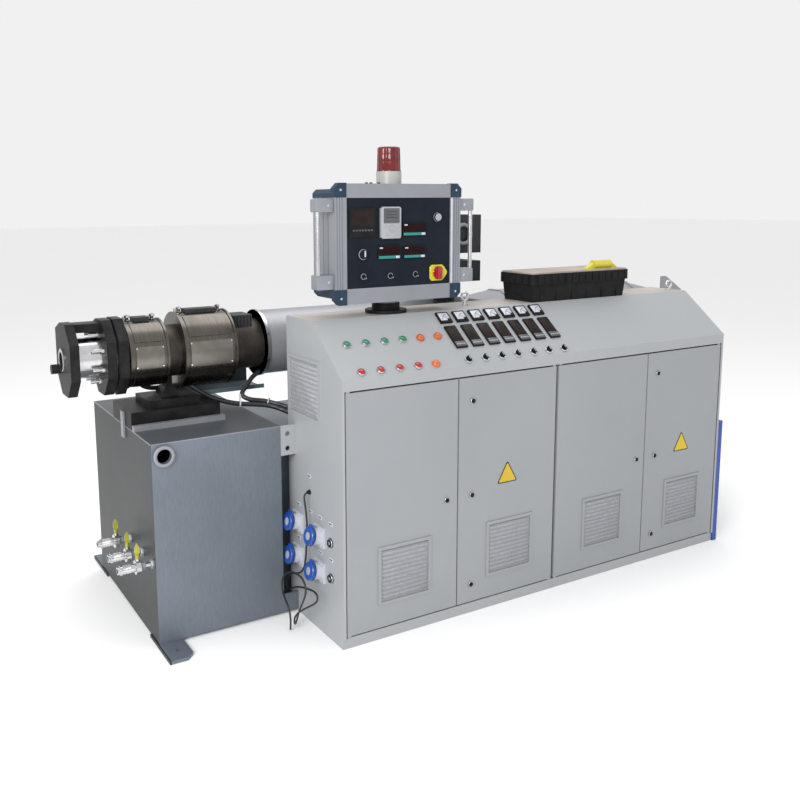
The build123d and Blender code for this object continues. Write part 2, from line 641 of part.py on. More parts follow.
def build_console():
    """The sloped sheet with its lip and the console's instruments."""
    rise = math.radians(SLOPE_ANGLE)
    drop = SHEET / math.cos(rise)
    section = Polyline((0, LIP_BOTTOM), (0, LIP_TOP), (CONSOLE_RUN, CABINET_HEIGHT),
                       (CONSOLE_RUN, CABINET_HEIGHT - drop), (SHEET, LIP_TOP - drop + SHEET * math.tan(rise)),
                       (SHEET, LIP_BOTTOM), close=True)
    console = extrude(Plane.YZ.offset(SHEET) * make_face(section), CABINET_LENGTH - 2 * SHEET)
    for hole in console_holes():
        console -= hole
    save("console_panel", console)

    meters, controllers, knobs, bezels = [], [], [], []
    for x in meter_places():
        meter = Pos(0, 0, METER_PROUD / 2) * Box(METER_SIZE, METER_SIZE, METER_PROUD)
        meter += Pos(0, 0, -METER_DEPTH / 2) * Box(METER_BODY, METER_BODY, METER_DEPTH)
        meters.append(on_slope(x, METER_S) * meter)
        controller = Pos(0, 0, CONTROLLER_PROUD / 2) * Box(
            CONTROLLER_WIDTH, CONTROLLER_HEIGHT, CONTROLLER_PROUD)
        controller += Pos(0, 0, -CONTROLLER_DEPTH / 2) * Box(
            CONTROLLER_BODY_WIDTH, CONTROLLER_BODY_HEIGHT, CONTROLLER_DEPTH)
        controllers.append(on_slope(x, CONTROLLER_S) * controller)
    for x in selector_places():
        knob = Pos(0, 0, BEZEL_PROUD + (KNOB_PROUD - BEZEL_PROUD) / 2) * Box(
            KNOB_GRIP, 2 * KNOB_RADIUS, KNOB_PROUD - BEZEL_PROUD)
        knob += Pos(0, 0, CAP_SEAT + BEZEL_PROUD / 2) * Cylinder(KNOB_RADIUS, BEZEL_PROUD)
        knobs.append(on_slope(x, LOWER_ROW_S) * knob)
    for x, s in round_places():
        bezel = Pos(0, 0, BEZEL_PROUD / 2) * Cylinder(BEZEL_RADIUS, BEZEL_PROUD)
        bezel += Pos(0, 0, -SHANK_LENGTH / 2) * Cylinder(SHANK_RADIUS, SHANK_LENGTH)
        bezel -= Pos(0, 0, CAP_SEAT + BEZEL_PROUD / 2) * Cylinder(
            BEZEL_RADIUS - BEZEL_LIP, BEZEL_PROUD)
        bezels.append(on_slope(x, s) * bezel)
    for z in SOCKET_ZS:
        knob = rod_x((-SIDE_KNOB_FLANGE_THICKNESS, 0), SIDE_KNOB_Y, z, SIDE_KNOB_FLANGE)
        knobs.append(knob + rod_x((-SIDE_KNOB_LENGTH, 0), SIDE_KNOB_Y, z, SIDE_KNOB_RADIUS))
    save("panel_meters", *meters)
    save("temperature_controllers", *controllers)
    save("rotary_knobs", *knobs)
    save("button_bezels", *bezels)

    cap = Pos(0, 0, CAP_SEAT + CAP_PROUD / 2) * Cylinder(CAP_RADIUS, CAP_PROUD)
    for name, kind in (("green_buttons", "G"), ("red_buttons", "R"), ("orange_lamps", "O")):
        save(name, *[on_slope(x, s) * cap for x, s in button_places(kind)])


def door_splits():
    """Places of the gaps between the doors along the cabinet."""
    return [share * CABINET_LENGTH for share in DOOR_SPLIT_SHARES]


def door_edges():
    """Left and right place of each door, with its hinge side."""
    first, second, third = door_splits()
    left_end = FRONT_RETURN + DOOR_SIDE_GAP
    right_end = CABINET_LENGTH - FRONT_RETURN - DOOR_SIDE_GAP
    return [
        (left_end, first - DOOR_GAP / 2, "left"),
        (first + DOOR_GAP / 2, second - TWIN_GAP / 2, "right"),
        (second + TWIN_GAP / 2, third - DOOR_GAP / 2, "left"),
        (third + DOOR_GAP / 2, right_end, "right"),
    ]


def cam_lock(x, z, front):
    """A cam lock through a door: a round head, its body and the cam behind."""
    back = front + LOCK_BODY_LENGTH
    lock = rod_y(x, (front - LOCK_PROUD, front), z, LOCK_RADIUS)
    lock += rod_y(x, (front - LOCK_PROUD / 2, back), z, LOCK_BODY_RADIUS)
    return lock + block((x - LOCK_TAB_WIDTH / 2, x + LOCK_TAB_WIDTH / 2), (back - LOCK_TAB_THICKNESS, back),
                        (z - LOCK_TAB_WIDTH / 2, z + LOCK_TAB_LENGTH))


def build_doors():
    """Four pan-shaped doors with louvre grilles and cam locks, and their pivots on the frame."""
    front, back = DOOR_SETBACK, DOOR_SETBACK + DOOR_THICKNESS
    through = (front - OVERRUN, front + SHEET + OVERRUN)
    middle_z = DOOR_BOTTOM + LOCK_MIDDLE_RISE
    vent_bottom = DOOR_BOTTOM + VENT_RISE
    pivots = []
    for number, (left, right, hinge) in enumerate(door_edges(), start=1):
        door = block((left, right), (front, back), (DOOR_BOTTOM, DOOR_TOP))
        door -= block((left + SHEET, right - SHEET), (front + SHEET, back + OVERRUN),
                      (DOOR_BOTTOM + SHEET, DOOR_TOP - SHEET))
        vent_middle = (left + right) / 2 + VENT_SHIFTS[number - 1]
        half_hole = VENT_WIDTH / 2 - VENT_FRAME
        door -= block((vent_middle - half_hole, vent_middle + half_hole), through,
                      (vent_bottom + VENT_FRAME, vent_bottom + VENT_HEIGHT - VENT_FRAME))
        pin_x = left + PIN_INSET if hinge == "left" else right - PIN_INSET
        pin_y = front + PIN_DEPTH
        door -= rod_z(pin_x, pin_y, (DOOR_BOTTOM - OVERRUN, DOOR_TOP + OVERRUN), PIN_RADIUS + PIN_CLEARANCE)
        inset = LOCK_FROM_EDGE[number - 1]
        lock_x = right - inset if hinge == "left" else left + inset
        heights = [middle_z]
        if hinge == "right":
            heights += [DOOR_TOP - LOCK_UPPER_DROP, DOOR_BOTTOM + LOCK_LOWER_RISE]
        for z in heights:
            door -= rod_y(lock_x, through, z, LOCK_BODY_RADIUS)
        place = Plane(origin=(vent_middle, front, vent_bottom + VENT_HEIGHT / 2),
                      x_dir=(1, 0, 0), z_dir=(0, -1, 0))
        save("door_%d" % number, door + place * louvre(VENT_WIDTH, VENT_HEIGHT))
        save("door_%d_locks" % number, *[cam_lock(lock_x, z, front) for z in heights])
        bracket_x = (pin_x - PIN_BRACKET_WIDTH / 2, pin_x + PIN_BRACKET_WIDTH / 2)
        bracket_y = (front + SHEET, back + FRAME_GAP)
        upper_z = (DOOR_TOP + PIN_GAP, DOOR_TOP + PIN_GAP + PIN_BRACKET)
        lower_z = (DOOR_BOTTOM - PIN_GAP - PIN_BRACKET, DOOR_BOTTOM - PIN_GAP)
        pivots.append(block(bracket_x, bracket_y, upper_z)
                      + rod_z(pin_x, pin_y, (DOOR_TOP - PIN_LENGTH, upper_z[1]), PIN_RADIUS))
        pivots.append(block(bracket_x, bracket_y, lower_z)
                      + rod_z(pin_x, pin_y, (lower_z[0], DOOR_BOTTOM + PIN_LENGTH), PIN_RADIUS))
    save("door_pivots", *pivots)


def build_left_end():
    """Sockets with hinged caps and the cord's gland on the cabinet's left end."""
    bodies, caps = [], []
    for y in SOCKET_YS:
        for z in SOCKET_ZS:
            half = SOCKET_FLANGE / 2
            flange = block((-SOCKET_FLANGE_THICKNESS, 0), (y - half, y + half), (z - half, z + half))
            tilt = Pos(-SOCKET_FLANGE_THICKNESS, y, z) * Rot(0, SOCKET_TILT, 0)
            barrel = tilt * rod_x((-SOCKET_BODY_LENGTH, SOCKET_FLANGE_THICKNESS), 0, 0, SOCKET_BODY_RADIUS)
            barrel &= block((-2 * half, 0), (y - half, y + half), (z - 2 * half, z + 2 * half))
            bodies.append(flange + barrel)
            cap_end = -SOCKET_BODY_LENGTH - SOCKET_CAP_LENGTH
            cap = rod_x((cap_end, -SOCKET_BODY_LENGTH), 0, 0, SOCKET_CAP_RADIUS)
            cap = chamfer(cap.edges().filter_by(GeomType.CIRCLE).sort_by(Axis.X)[0], SOCKET_CAP_EDGE)
            cap += block((cap_end + SOCKET_CAP_EDGE, -SOCKET_BODY_LENGTH),
                         (-SOCKET_HINGE_WIDTH / 2, SOCKET_HINGE_WIDTH / 2),
                         (SOCKET_BODY_RADIUS, SOCKET_CAP_RADIUS + SOCKET_HINGE_RISE))
            caps.append(tilt * cap)
    save("socket_bodies", *bodies)
    save("socket_caps", *caps)
    save("cord_gland", rod_x((-GLAND_LENGTH, 0), CORD_POINTS[0][1], CORD_POINTS[0][2], GLAND_RADIUS))


def tube_along(points, radius, share):
    """A tube along straight runs joined by tangent arcs as large as the runs allow."""
    corners = [Vector(*point) for point in points]
    radii = []
    for before, here, after in zip(corners, corners[1:], corners[2:]):
        run_in, run_out = here - before, after - here
        turn = math.radians(run_in.get_angle(run_out))
        radii.append(share * min(run_in.length, run_out.length) / math.tan(turn / 2))
    path = FilletPolyline(*points, radius=radii)
    start = Plane(origin=corners[0], z_dir=corners[1] - corners[0])
    return sweep(start * Circle(radius), path=path, transition=Transition.RIGHT)


def build_top_pieces():
    """Eye bolts and the lidded case, with the grip on its lid, on the cabinet's flat top."""
    bolts = []
    second_x = CABINET_LENGTH - EYE_SECOND_FROM_END
    for x, y, stem in (EYE_FIRST + (EYE_FIRST_STEM,), (second_x, EYE_SECOND_Y, EYE_SECOND_STEM)):
        ring_z = CABINET_HEIGHT + stem + EYE_RING_RADIUS + EYE_BAR_RADIUS / 2
        bolt = Pos(x, y, ring_z) * Rot(90, 0, 0) * Torus(EYE_RING_RADIUS, EYE_BAR_RADIUS)
        bolt += rod_z(x, y, (CABINET_HEIGHT, CABINET_HEIGHT + EYE_COLLAR_HEIGHT), EYE_COLLAR_RADIUS)
        bolts.append(bolt + rod_z(x, y, (CABINET_HEIGHT, ring_z - EYE_RING_RADIUS), EYE_STEM_RADIUS))
    save("eye_bolts", *bolts)

    front = CONSOLE_RUN + CASE_FRONT_GAP
    case_x, case_y = (CASE_LEFT, CASE_LEFT + CASE_LENGTH), (front, front + CASE_DEPTH)
    centre = Pos(sum(case_x) / 2, sum(case_y) / 2, CABINET_HEIGHT)
    mouth = Pos(0, 0, CASE_HEIGHT) * Rectangle(CASE_LENGTH + 2 * CASE_DRAFT, CASE_DEPTH + 2 * CASE_DRAFT)
    body = centre * loft([Rectangle(CASE_LENGTH, CASE_DEPTH), mouth])
    rim_x = (case_x[0] - CASE_RIM_PROUD, case_x[1] + CASE_RIM_PROUD)
    rim_y = (case_y[0] - CASE_RIM_PROUD, case_y[1] + CASE_RIM_PROUD)
    rim = block(rim_x, rim_y, (CASE_RIM_TOP - CASE_RIM_HEIGHT, CASE_RIM_TOP))
    save("case_body", body + fillet(rim.edges().filter_by(Axis.Z), CASE_RIM_PROUD))
    lid = block((rim_x[0] + CASE_LID, rim_x[1] - CASE_LID), (rim_y[0] + CASE_LID, rim_y[1] - CASE_LID),
                (CASE_RIM_TOP, CASE_RIM_TOP + CASE_LID))
    save("case_lid", fillet(lid.edges().filter_by(Axis.Z), CASE_RIM_PROUD - CASE_LID))

    lid_top = CASE_RIM_TOP + CASE_LID
    grip_x = (CASE_LEFT + GRIP_LEFT, CASE_LEFT + GRIP_LEFT + GRIP_LENGTH)
    grip_y, grip_z = front + GRIP_FROM_FRONT, lid_top + GRIP_RADIUS
    grip = rod_x(grip_x, grip_y, grip_z, GRIP_RADIUS)
    seat_y = (grip_y - GRIP_RADIUS / 2, grip_y + GRIP_RADIUS / 2)
    grip += block(grip_x, seat_y, (lid_top, lid_top + GRIP_SEAT))
    wing_y = (grip_y - GRIP_WING_DEPTH / 2, grip_y + GRIP_WING_DEPTH / 2)
    for end, way in ((grip_x[0], -1), (grip_x[1], 1)):
        tip = end + way * GRIP_WING_LENGTH
        points = ((end, lid_top), (tip, lid_top), (tip, lid_top + GRIP_SEAT), (end, grip_z + GRIP_RADIUS / 2))
        grip += front_plate(points, *wing_y)
    save("lid_grip", grip)


def box_outline(low, high, notch_low, notch_high):
    """The control box's end outline with a notch at each corner for the corner pieces."""
    left, right, bar = BOX_LEFT, BOX_RIGHT, BOX_SIDE_BAR
    return [
        (left + bar, low), (right - bar, low), (right - bar, low + notch_low), (right, low + notch_low),
        (right, high - notch_high), (right - bar, high - notch_high), (right - bar, high), (left + bar, high),
        (left + bar, high - notch_high), (left, high - notch_high), (left, low + notch_low),
        (left + bar, low + notch_low),
    ]


def box_corner(side, level, height, front, back):
    """One slate corner piece: a bevelled block in the notch at the box's side and level."""
    inner = (BOX_RIGHT - BOX_SIDE_BAR) if side > 0 else (BOX_LEFT + BOX_SIDE_BAR)
    outer = (BOX_RIGHT + BOX_CORNER_PROUD) if side > 0 else (BOX_LEFT - BOX_CORNER_PROUD)
    way = 1 if height > 0 else -1
    far = level + height + way * BOX_CORNER_PROUD
    bevel = min(BOX_BEVEL, abs(height) / 2)
    points = [(inner, level), (outer, level), (outer, far - way * bevel), (outer - side * bevel, far),
              (inner, far)]
    return front_plate(points, front, back)


def build_control_box():
    """The swivelling control box's shell, corners, panel and handles, on its pedestal."""
    front, back = BOX_FRONT, BOX_FRONT + BOX_DEPTH
    rim_back = front + BOX_RIM_DEPTH
    low, high = BOX_BOTTOM + BOX_RIM_STEP, BOX_TOP - BOX_RIM_STEP
    foot = Pos(BOX_MIDDLE, SWIVEL_Y, CABINET_HEIGHT)
    pedestal = foot * rod_z(0, 0, (0, PEDESTAL_FLANGE), PEDESTAL_FLANGE_RADIUS)
    pedestal += foot * rod_z(0, 0, (0, PEDESTAL_HEIGHT), PEDESTAL_RADIUS)
    save("swivel_pedestal", pedestal)

    shell = front_plate(box_outline(BOX_BOTTOM, BOX_TOP, BOX_BOTTOM_BAR, BOX_TOP_BAR), front, rim_back)
    shell += front_plate(box_outline(low, high, BOX_BOTTOM_BAR - BOX_RIM_STEP, BOX_TOP_BAR - BOX_RIM_STEP),
                         rim_back, back)
    shell += rod_z(BOX_MIDDLE, SWIVEL_Y, (CABINET_HEIGHT + PEDESTAL_HEIGHT + SWIVEL_GAP, low), NECK_RADIUS)
    corner_z = (BOX_BOTTOM + BOX_BOTTOM_BAR, BOX_TOP - BOX_TOP_BAR)
    panel_x = (BOX_LEFT + BOX_SIDE_BAR + BOX_LIP, BOX_RIGHT - BOX_SIDE_BAR - BOX_LIP)
    panel_z = (corner_z[0] + BOX_LIP, corner_z[1] - BOX_LIP)
    panel_y = (PANEL_FACE, PANEL_FACE + BOX_PANEL_THICKNESS)
    shell -= block(panel_x, (front - OVERRUN, panel_y[1]), panel_z)
    for share in GROOVE_FRONT_SHARES:
        for x in (BOX_LEFT + share * BOX_SIDE_BAR, BOX_RIGHT - share * BOX_SIDE_BAR):
            groove_x = (x - GROOVE_WIDTH / 2, x + GROOVE_WIDTH / 2)
            shell -= block(groove_x, (front - OVERRUN, front + GROOVE_DEPTH), corner_z)
    for share in GROOVE_SIDE_SHARES:
        y = front + share * BOX_DEPTH
        for wall in (BOX_LEFT, BOX_RIGHT):
            groove_y = (y - GROOVE_WIDTH / 2, y + GROOVE_WIDTH / 2)
            shell -= block((wall - GROOVE_DEPTH, wall + GROOVE_DEPTH), groove_y, corner_z)
    save("control_box_shell", shell)
    save("control_panel", block(panel_x, panel_y, panel_z))

    corners = []
    for side in (-1, 1):
        for level, height in ((corner_z[1], BOX_TOP_BAR), (corner_z[0], -BOX_BOTTOM_BAR)):
            rear_height = height - math.copysign(BOX_RIM_STEP, height)
            corner = box_corner(side, level, height, front - BOX_CORNER_PROUD, rim_back)
            corners.append(corner + box_corner(side, level, rear_height, rim_back, back))
    save("control_box_corners", *corners)

    handle_front = front + HANDLE_SETBACK
    bracket_y = (handle_front, handle_front + HANDLE_BRACKET_DEPTH)
    upper = BOX_TOP - HANDLE_UPPER_DROP
    lower = BOX_BOTTOM + HANDLE_LOWER_RISE
    handles = []
    for wall, way in ((BOX_LEFT, -1), (BOX_RIGHT, 1)):
        tip = wall + way * HANDLE_REACH
        handle = front_plate([(wall, upper - HANDLE_UPPER_BRACKET), (tip, upper - HANDLE_UPPER_BRACKET),
                              (tip, upper), (wall, upper)], *bracket_y)
        handle += front_plate([(wall, lower), (tip, lower + HANDLE_SLANT),
                               (tip, lower + HANDLE_LOWER_BRACKET), (wall, lower + HANDLE_LOWER_BRACKET)],
                              *bracket_y)
        bar_x = sorted((tip, tip - way * HANDLE_BAR_WIDTH))
        handle += block(bar_x, (handle_front, handle_front + HANDLE_BAR_DEPTH), (lower + HANDLE_SLANT, upper))
        handles.append(handle)
    save("control_box_handles", *handles)

    beacon_y = front + BEACON_FROM_FRONT
    lens_z = BOX_TOP + BEACON_BASE_TOP
    save("beacon_base", rod_z(BOX_MIDDLE, beacon_y, (high, lens_z), BEACON_RADIUS))
    profile = make_face(Polyline((0, 0), (BEACON_LENS_FOOT_RADIUS, 0),
                                 (BEACON_LENS_RADIUS, BEACON_LENS_HEIGHT - BEACON_DOME),
                                 (BEACON_LENS_RADIUS - BEACON_DOME, BEACON_LENS_HEIGHT),
                                 (0, BEACON_LENS_HEIGHT), close=True))
    save("beacon_lens", Pos(BOX_MIDDLE, beacon_y, lens_z) * revolve(Plane.XZ * profile, Axis.Z))


def build_panel_pieces():
    """The instruments on the control box's panel and its main switch."""
    pieces = []
    places = [(MODULE_PLACE, MODULE_PROUD)] + [(place, DISPLAY_PROUD) for place in DISPLAY_PLACES]
    for (left, right, low, high), proud in places:
        pieces.append(block((BOX_LEFT + left, BOX_LEFT + right), (PANEL_FACE - proud, PANEL_FACE),
                            (BOX_BOTTOM + low, BOX_BOTTOM + high)))
    left, right, low, high = KEYPAD_PLACE
    keypad = block((BOX_LEFT + left, BOX_LEFT + right), (PANEL_FACE - KEYPAD_PROUD, PANEL_FACE),
                   (BOX_BOTTOM + low, BOX_BOTTOM + high))
    pieces.append(fillet(keypad.edges().filter_by(Axis.Y), KEYPAD_CORNER))
    for x, z in TOGGLE_PLACES:
        toggle = rod_y(BOX_LEFT + x, (PANEL_FACE - TOGGLE_PROUD, PANEL_FACE), BOX_BOTTOM + z, TOGGLE_RADIUS)
        toggle += block((BOX_LEFT + x - TOGGLE_LEVER_WIDTH / 2, BOX_LEFT + x + TOGGLE_LEVER_WIDTH / 2),
                        (PANEL_FACE - TOGGLE_PROUD - TOGGLE_LEVER, PANEL_FACE),
                        (BOX_BOTTOM + z - TOGGLE_LEVER_WIDTH / 2, BOX_BOTTOM + z + TOGGLE_LEVER_WIDTH / 2))
        pieces.append(toggle)
    for x, z in DIAL_PLACES:
        place = Pos(BOX_LEFT + x, PANEL_FACE, BOX_BOTTOM + z)
        dial = place * rod_y(0, (-DIAL_RIM, 0), 0, DIAL_RIM_RADIUS)
        pieces.append(dial + place * rod_y(0, (-DIAL_PROUD, 0), 0, DIAL_RADIUS))
    save("panel_instruments", *pieces)

    x, z = BOX_LEFT + SWITCH_X, BOX_BOTTOM + SWITCH_Z
    plate_front = PANEL_FACE - SWITCH_PLATE
    reach = SWITCH_NOSE_REACH - SWITCH_NOSE_RADIUS
    lean = math.acos((SWITCH_PLATE_RADIUS - SWITCH_NOSE_RADIUS) / reach)
    tangents = [(x + SWITCH_PLATE_RADIUS * math.cos(lean), z + SWITCH_PLATE_RADIUS * math.sin(lean)),
                (x + reach + SWITCH_NOSE_RADIUS * math.cos(lean), z + SWITCH_NOSE_RADIUS * math.sin(lean)),
                (x + reach + SWITCH_NOSE_RADIUS * math.cos(lean), z - SWITCH_NOSE_RADIUS * math.sin(lean)),
                (x + SWITCH_PLATE_RADIUS * math.cos(lean), z - SWITCH_PLATE_RADIUS * math.sin(lean)), (x, z)]
    plate = front_plate(tangents, plate_front, PANEL_FACE)
    plate += rod_y(x, (plate_front, PANEL_FACE), z, SWITCH_PLATE_RADIUS)
    plate += rod_y(x + reach, (plate_front, PANEL_FACE), z, SWITCH_NOSE_RADIUS)
    save("main_switch_plate", plate)
    knob_back = plate_front - SWIVEL_GAP
    knob = rod_y(x, (knob_back - SWITCH_KNOB_LENGTH, knob_back), z, SWITCH_KNOB_RADIUS)
    knob += block((x - SWITCH_GRIP / 2, x + SWITCH_GRIP / 2),
                  (knob_back - SWITCH_KNOB_LENGTH, knob_back - SWITCH_PLATE),
                  (z - SWITCH_GRIP_LENGTH / 2, z + SWITCH_GRIP_LENGTH / 2))
    save("main_switch_knob", knob)


def hollow_box(x, y, z):
    """A closed welded box of plate."""
    inside = [(low + BASE_WALL, high - BASE_WALL) for low, high in (x, y, z)]
    return block(x, y, z) - block(*inside)


def build_base():
    """The machine's welded base: the box under the barrel, the drive's bed, the feet and the port."""
    base = hollow_box((BASE_LEFT, BASE_RIGHT), (BASE_FRONT, BASE_BACK), (BASE_LIFT, BASE_TOP))
    base += block((BASE_RIGHT, 0), (BASE_FRONT, BASE_FRONT + BASE_WALL), (BASE_LIFT, TIE_LOW_TOP))
    port_x, port_z = BASE_LEFT + PORT_FROM_LEFT, BASE_TOP - PORT_DROP
    port_front = BASE_FRONT - PORT_LENGTH
    base += rod_y(port_x, (port_front, BASE_FRONT), port_z, PORT_RADIUS)
    base -= rod_y(port_x, (port_front - OVERRUN, BASE_FRONT + BASE_WALL + OVERRUN), port_z, PORT_BORE)
    base += hollow_box((BASE_RIGHT, BED_RIGHT), (BED_FRONT, BED_BACK), (BASE_LIFT, BED_TOP))
    save("machine_base", base)

    feet = []
    for left in (BASE_LEFT - FOOT_PROUD, BASE_RIGHT - FOOT_LENGTH):
        for edge, way in ((BASE_FRONT, -1), (BASE_BACK, 1)):
            if way < 0 and left > BASE_LEFT:
                continue
            right, out, under = left + FOOT_LENGTH, edge + way * FOOT_OUT, edge - way * FOOT_UNDER
            outline = Polyline((left, under), (left, out), (right - FOOT_BEVEL, out),
                               (right, out - way * FOOT_BEVEL), (right, under), close=True)
            foot = Pos(0, 0, BASE_LIFT) * extrude(make_face(outline), -BASE_LIFT, dir=(0, 0, 1))
            foot -= rod_z(left + FOOT_HOLE_IN, edge + way * FOOT_HOLE_OUT, (-OVERRUN, BASE_LIFT + OVERRUN),
                          FOOT_HOLE_RADIUS)
            feet.append(foot)
    for left in (BED_RIGHT - FOOT_LENGTH, (BASE_RIGHT + BED_RIGHT) / 2):
        for low in (BED_FRONT, BED_BACK - FOOT_UNDER):
            feet.append(block((left, left + FOOT_LENGTH), (low, low + FOOT_UNDER), (0, BASE_LIFT)))
    save("base_feet", *feet)


def build_valves():
    """Three ball valves on the base's left end, each with a leaf-shaped lever standing on its stem."""
    bodies = []
    for number, from_front in enumerate(VALVE_FROM_FRONT, start=1):
        y = BASE_FRONT + from_front
        disc_x = BASE_LEFT - VALVE_DISC_AT
        body = rod_x((disc_x, BASE_LEFT), y, VALVE_Z, VALVE_PIPE_RADIUS)
        body += rod_x((disc_x - VALVE_DISC_LENGTH / 2, disc_x + VALVE_DISC_LENGTH / 2), y, VALVE_Z,
                      VALVE_DISC_RADIUS)
        body += rod_x((BASE_LEFT - VALVE_REACH, disc_x), y, VALVE_Z, VALVE_NIPPLE_RADIUS)
        body -= rod_x((BASE_LEFT - VALVE_REACH - OVERRUN, disc_x - VALVE_DISC_LENGTH / 2), y, VALVE_Z,
                      VALVE_NIPPLE_BORE)
        boss_top = VALVE_Z + VALVE_BOSS_HEIGHT
        body += rod_z(disc_x, y, (VALVE_Z, boss_top), VALVE_BOSS_RADIUS)
        body += rod_z(disc_x, y, (boss_top, boss_top + VALVE_PIN_LENGTH), VALVE_PIN_RADIUS)
        bodies.append(body)

        hub_bottom = boss_top + SWIVEL_GAP
        blade_bottom = hub_bottom + LEVER_HUB_HEIGHT - LEVER_HUB_RADIUS
        lever = rod_z(disc_x, y, (hub_bottom, hub_bottom + LEVER_HUB_HEIGHT), LEVER_HUB_RADIUS)
        low_share, high_share = LEVER_SHOULDER_SHARES
        half = LEVER_WIDTH / 2
        leaf = [(disc_x - LEVER_HUB_RADIUS / 2, blade_bottom), (disc_x + LEVER_HUB_RADIUS / 2, blade_bottom),
                (disc_x + half, blade_bottom + low_share * LEVER_HEIGHT),
                (disc_x + half, blade_bottom + high_share * LEVER_HEIGHT),
                (disc_x, blade_bottom + LEVER_HEIGHT),
                (disc_x - half, blade_bottom + high_share * LEVER_HEIGHT),
                (disc_x - half, blade_bottom + low_share * LEVER_HEIGHT)]
        lever += front_plate(leaf, y - LEVER_THICKNESS / 2, y + LEVER_THICKNESS / 2)
        lever -= rod_z(disc_x, y, (hub_bottom - OVERRUN, boss_top + VALVE_PIN_LENGTH + SWIVEL_GAP),
                       VALVE_PIN_RADIUS + LEVER_CLEARANCE)
        save("valve_lever_%d" % number, lever)
    save("valve_bodies", *bodies)


def across_axis(x):
    """The plane across the barrel's axis: local X into the machine's depth, local Y up."""
    return Plane(origin=(x, AXIS_Y, AXIS_Z), x_dir=(0, 1, 0), z_dir=(1, 0, 0))


def axis_rod(left, length, radius):
    """A cylinder on the barrel's axis."""
    return rod_x((left, left + length), AXIS_Y, AXIS_Z, radius)


def axis_ring(left, length, radius):
    """A ring that sits on the barrel."""
    return axis_rod(left, length, radius) - axis_rod(left - OVERRUN, length + 2 * OVERRUN, BARREL_RADIUS)


def cut_corner_plate(left, thickness, width, height, corner, rear_upper):
    """A plate across the axis with cut corners, the rear upper one cut by its own two sizes."""
    half_width, half_height = width / 2, height / 2
    outline = Polyline(
        (-half_width + corner, -half_height), (half_width - corner, -half_height),
        (half_width, -half_height + corner), (half_width, half_height - rear_upper[1]),
        (half_width - rear_upper[0], half_height), (-half_width + corner, half_height),
        (-half_width, half_height - corner), (-half_width, -half_height + corner), close=True)
    return extrude(across_axis(left) * make_face(outline), thickness)


def ring_sector(inner, outer, span):
    """The outline of a stretch of a ring about the origin, centred on local X."""
    half = math.radians(span / 2)
    low_in, low_out = [(radius * math.cos(half), -radius * math.sin(half)) for radius in (inner, outer)]
    high_in, high_out = (low_in[0], -low_in[1]), (low_out[0], -low_out[1])
    edges = [Line(low_in, low_out), ThreePointArc(low_out, (outer, 0), high_out), Line(high_out, high_in),
             ThreePointArc(high_in, (inner, 0), low_in)]
    return make_face(edges)


def heater(left, length, radius):
    """A heater band: a ring on the barrel with end beads, six curved cover pads and terminal posts."""
    band = axis_ring(left, length, radius)
    for bead_left in (left, left + length - BEAD_WIDTH):
        band += axis_ring(bead_left, BEAD_WIDTH, radius + BEAD_PROUD)
    sector = ring_sector(radius - PAD_PROUD, radius + PAD_PROUD, PAD_SPAN_DEGREES)
    for side in (0, 180):
        for turn in (-1, 0, 1):
            place = across_axis(left + PAD_MARGIN) * Rot(0, 0, side + turn * PAD_PITCH_DEGREES)
            band += extrude(place * sector, length - 2 * PAD_MARGIN, dir=(1, 0, 0))
    post_z = (AXIS_Z + radius - PAD_PROUD, AXIS_Z + radius + POST_HEIGHT)
    for x in (left + POST_INSET, left + length - POST_INSET):
        band += rod_z(x, AXIS_Y, post_z, POST_RADIUS)
    return band


def heater_box(left, length, radius):
    """The dark terminal cover between a heater's posts, shaped to the band."""
    x = (left + HEATER_BOX_MARGIN, left + length - HEATER_BOX_MARGIN)
    cover = block(x, (AXIS_Y - HEATER_BOX_WIDTH / 2, AXIS_Y + HEATER_BOX_WIDTH / 2),
                  (AXIS_Z, AXIS_Z + radius + HEATER_BOX_HEIGHT))
    return cover - axis_rod(left, length, radius)


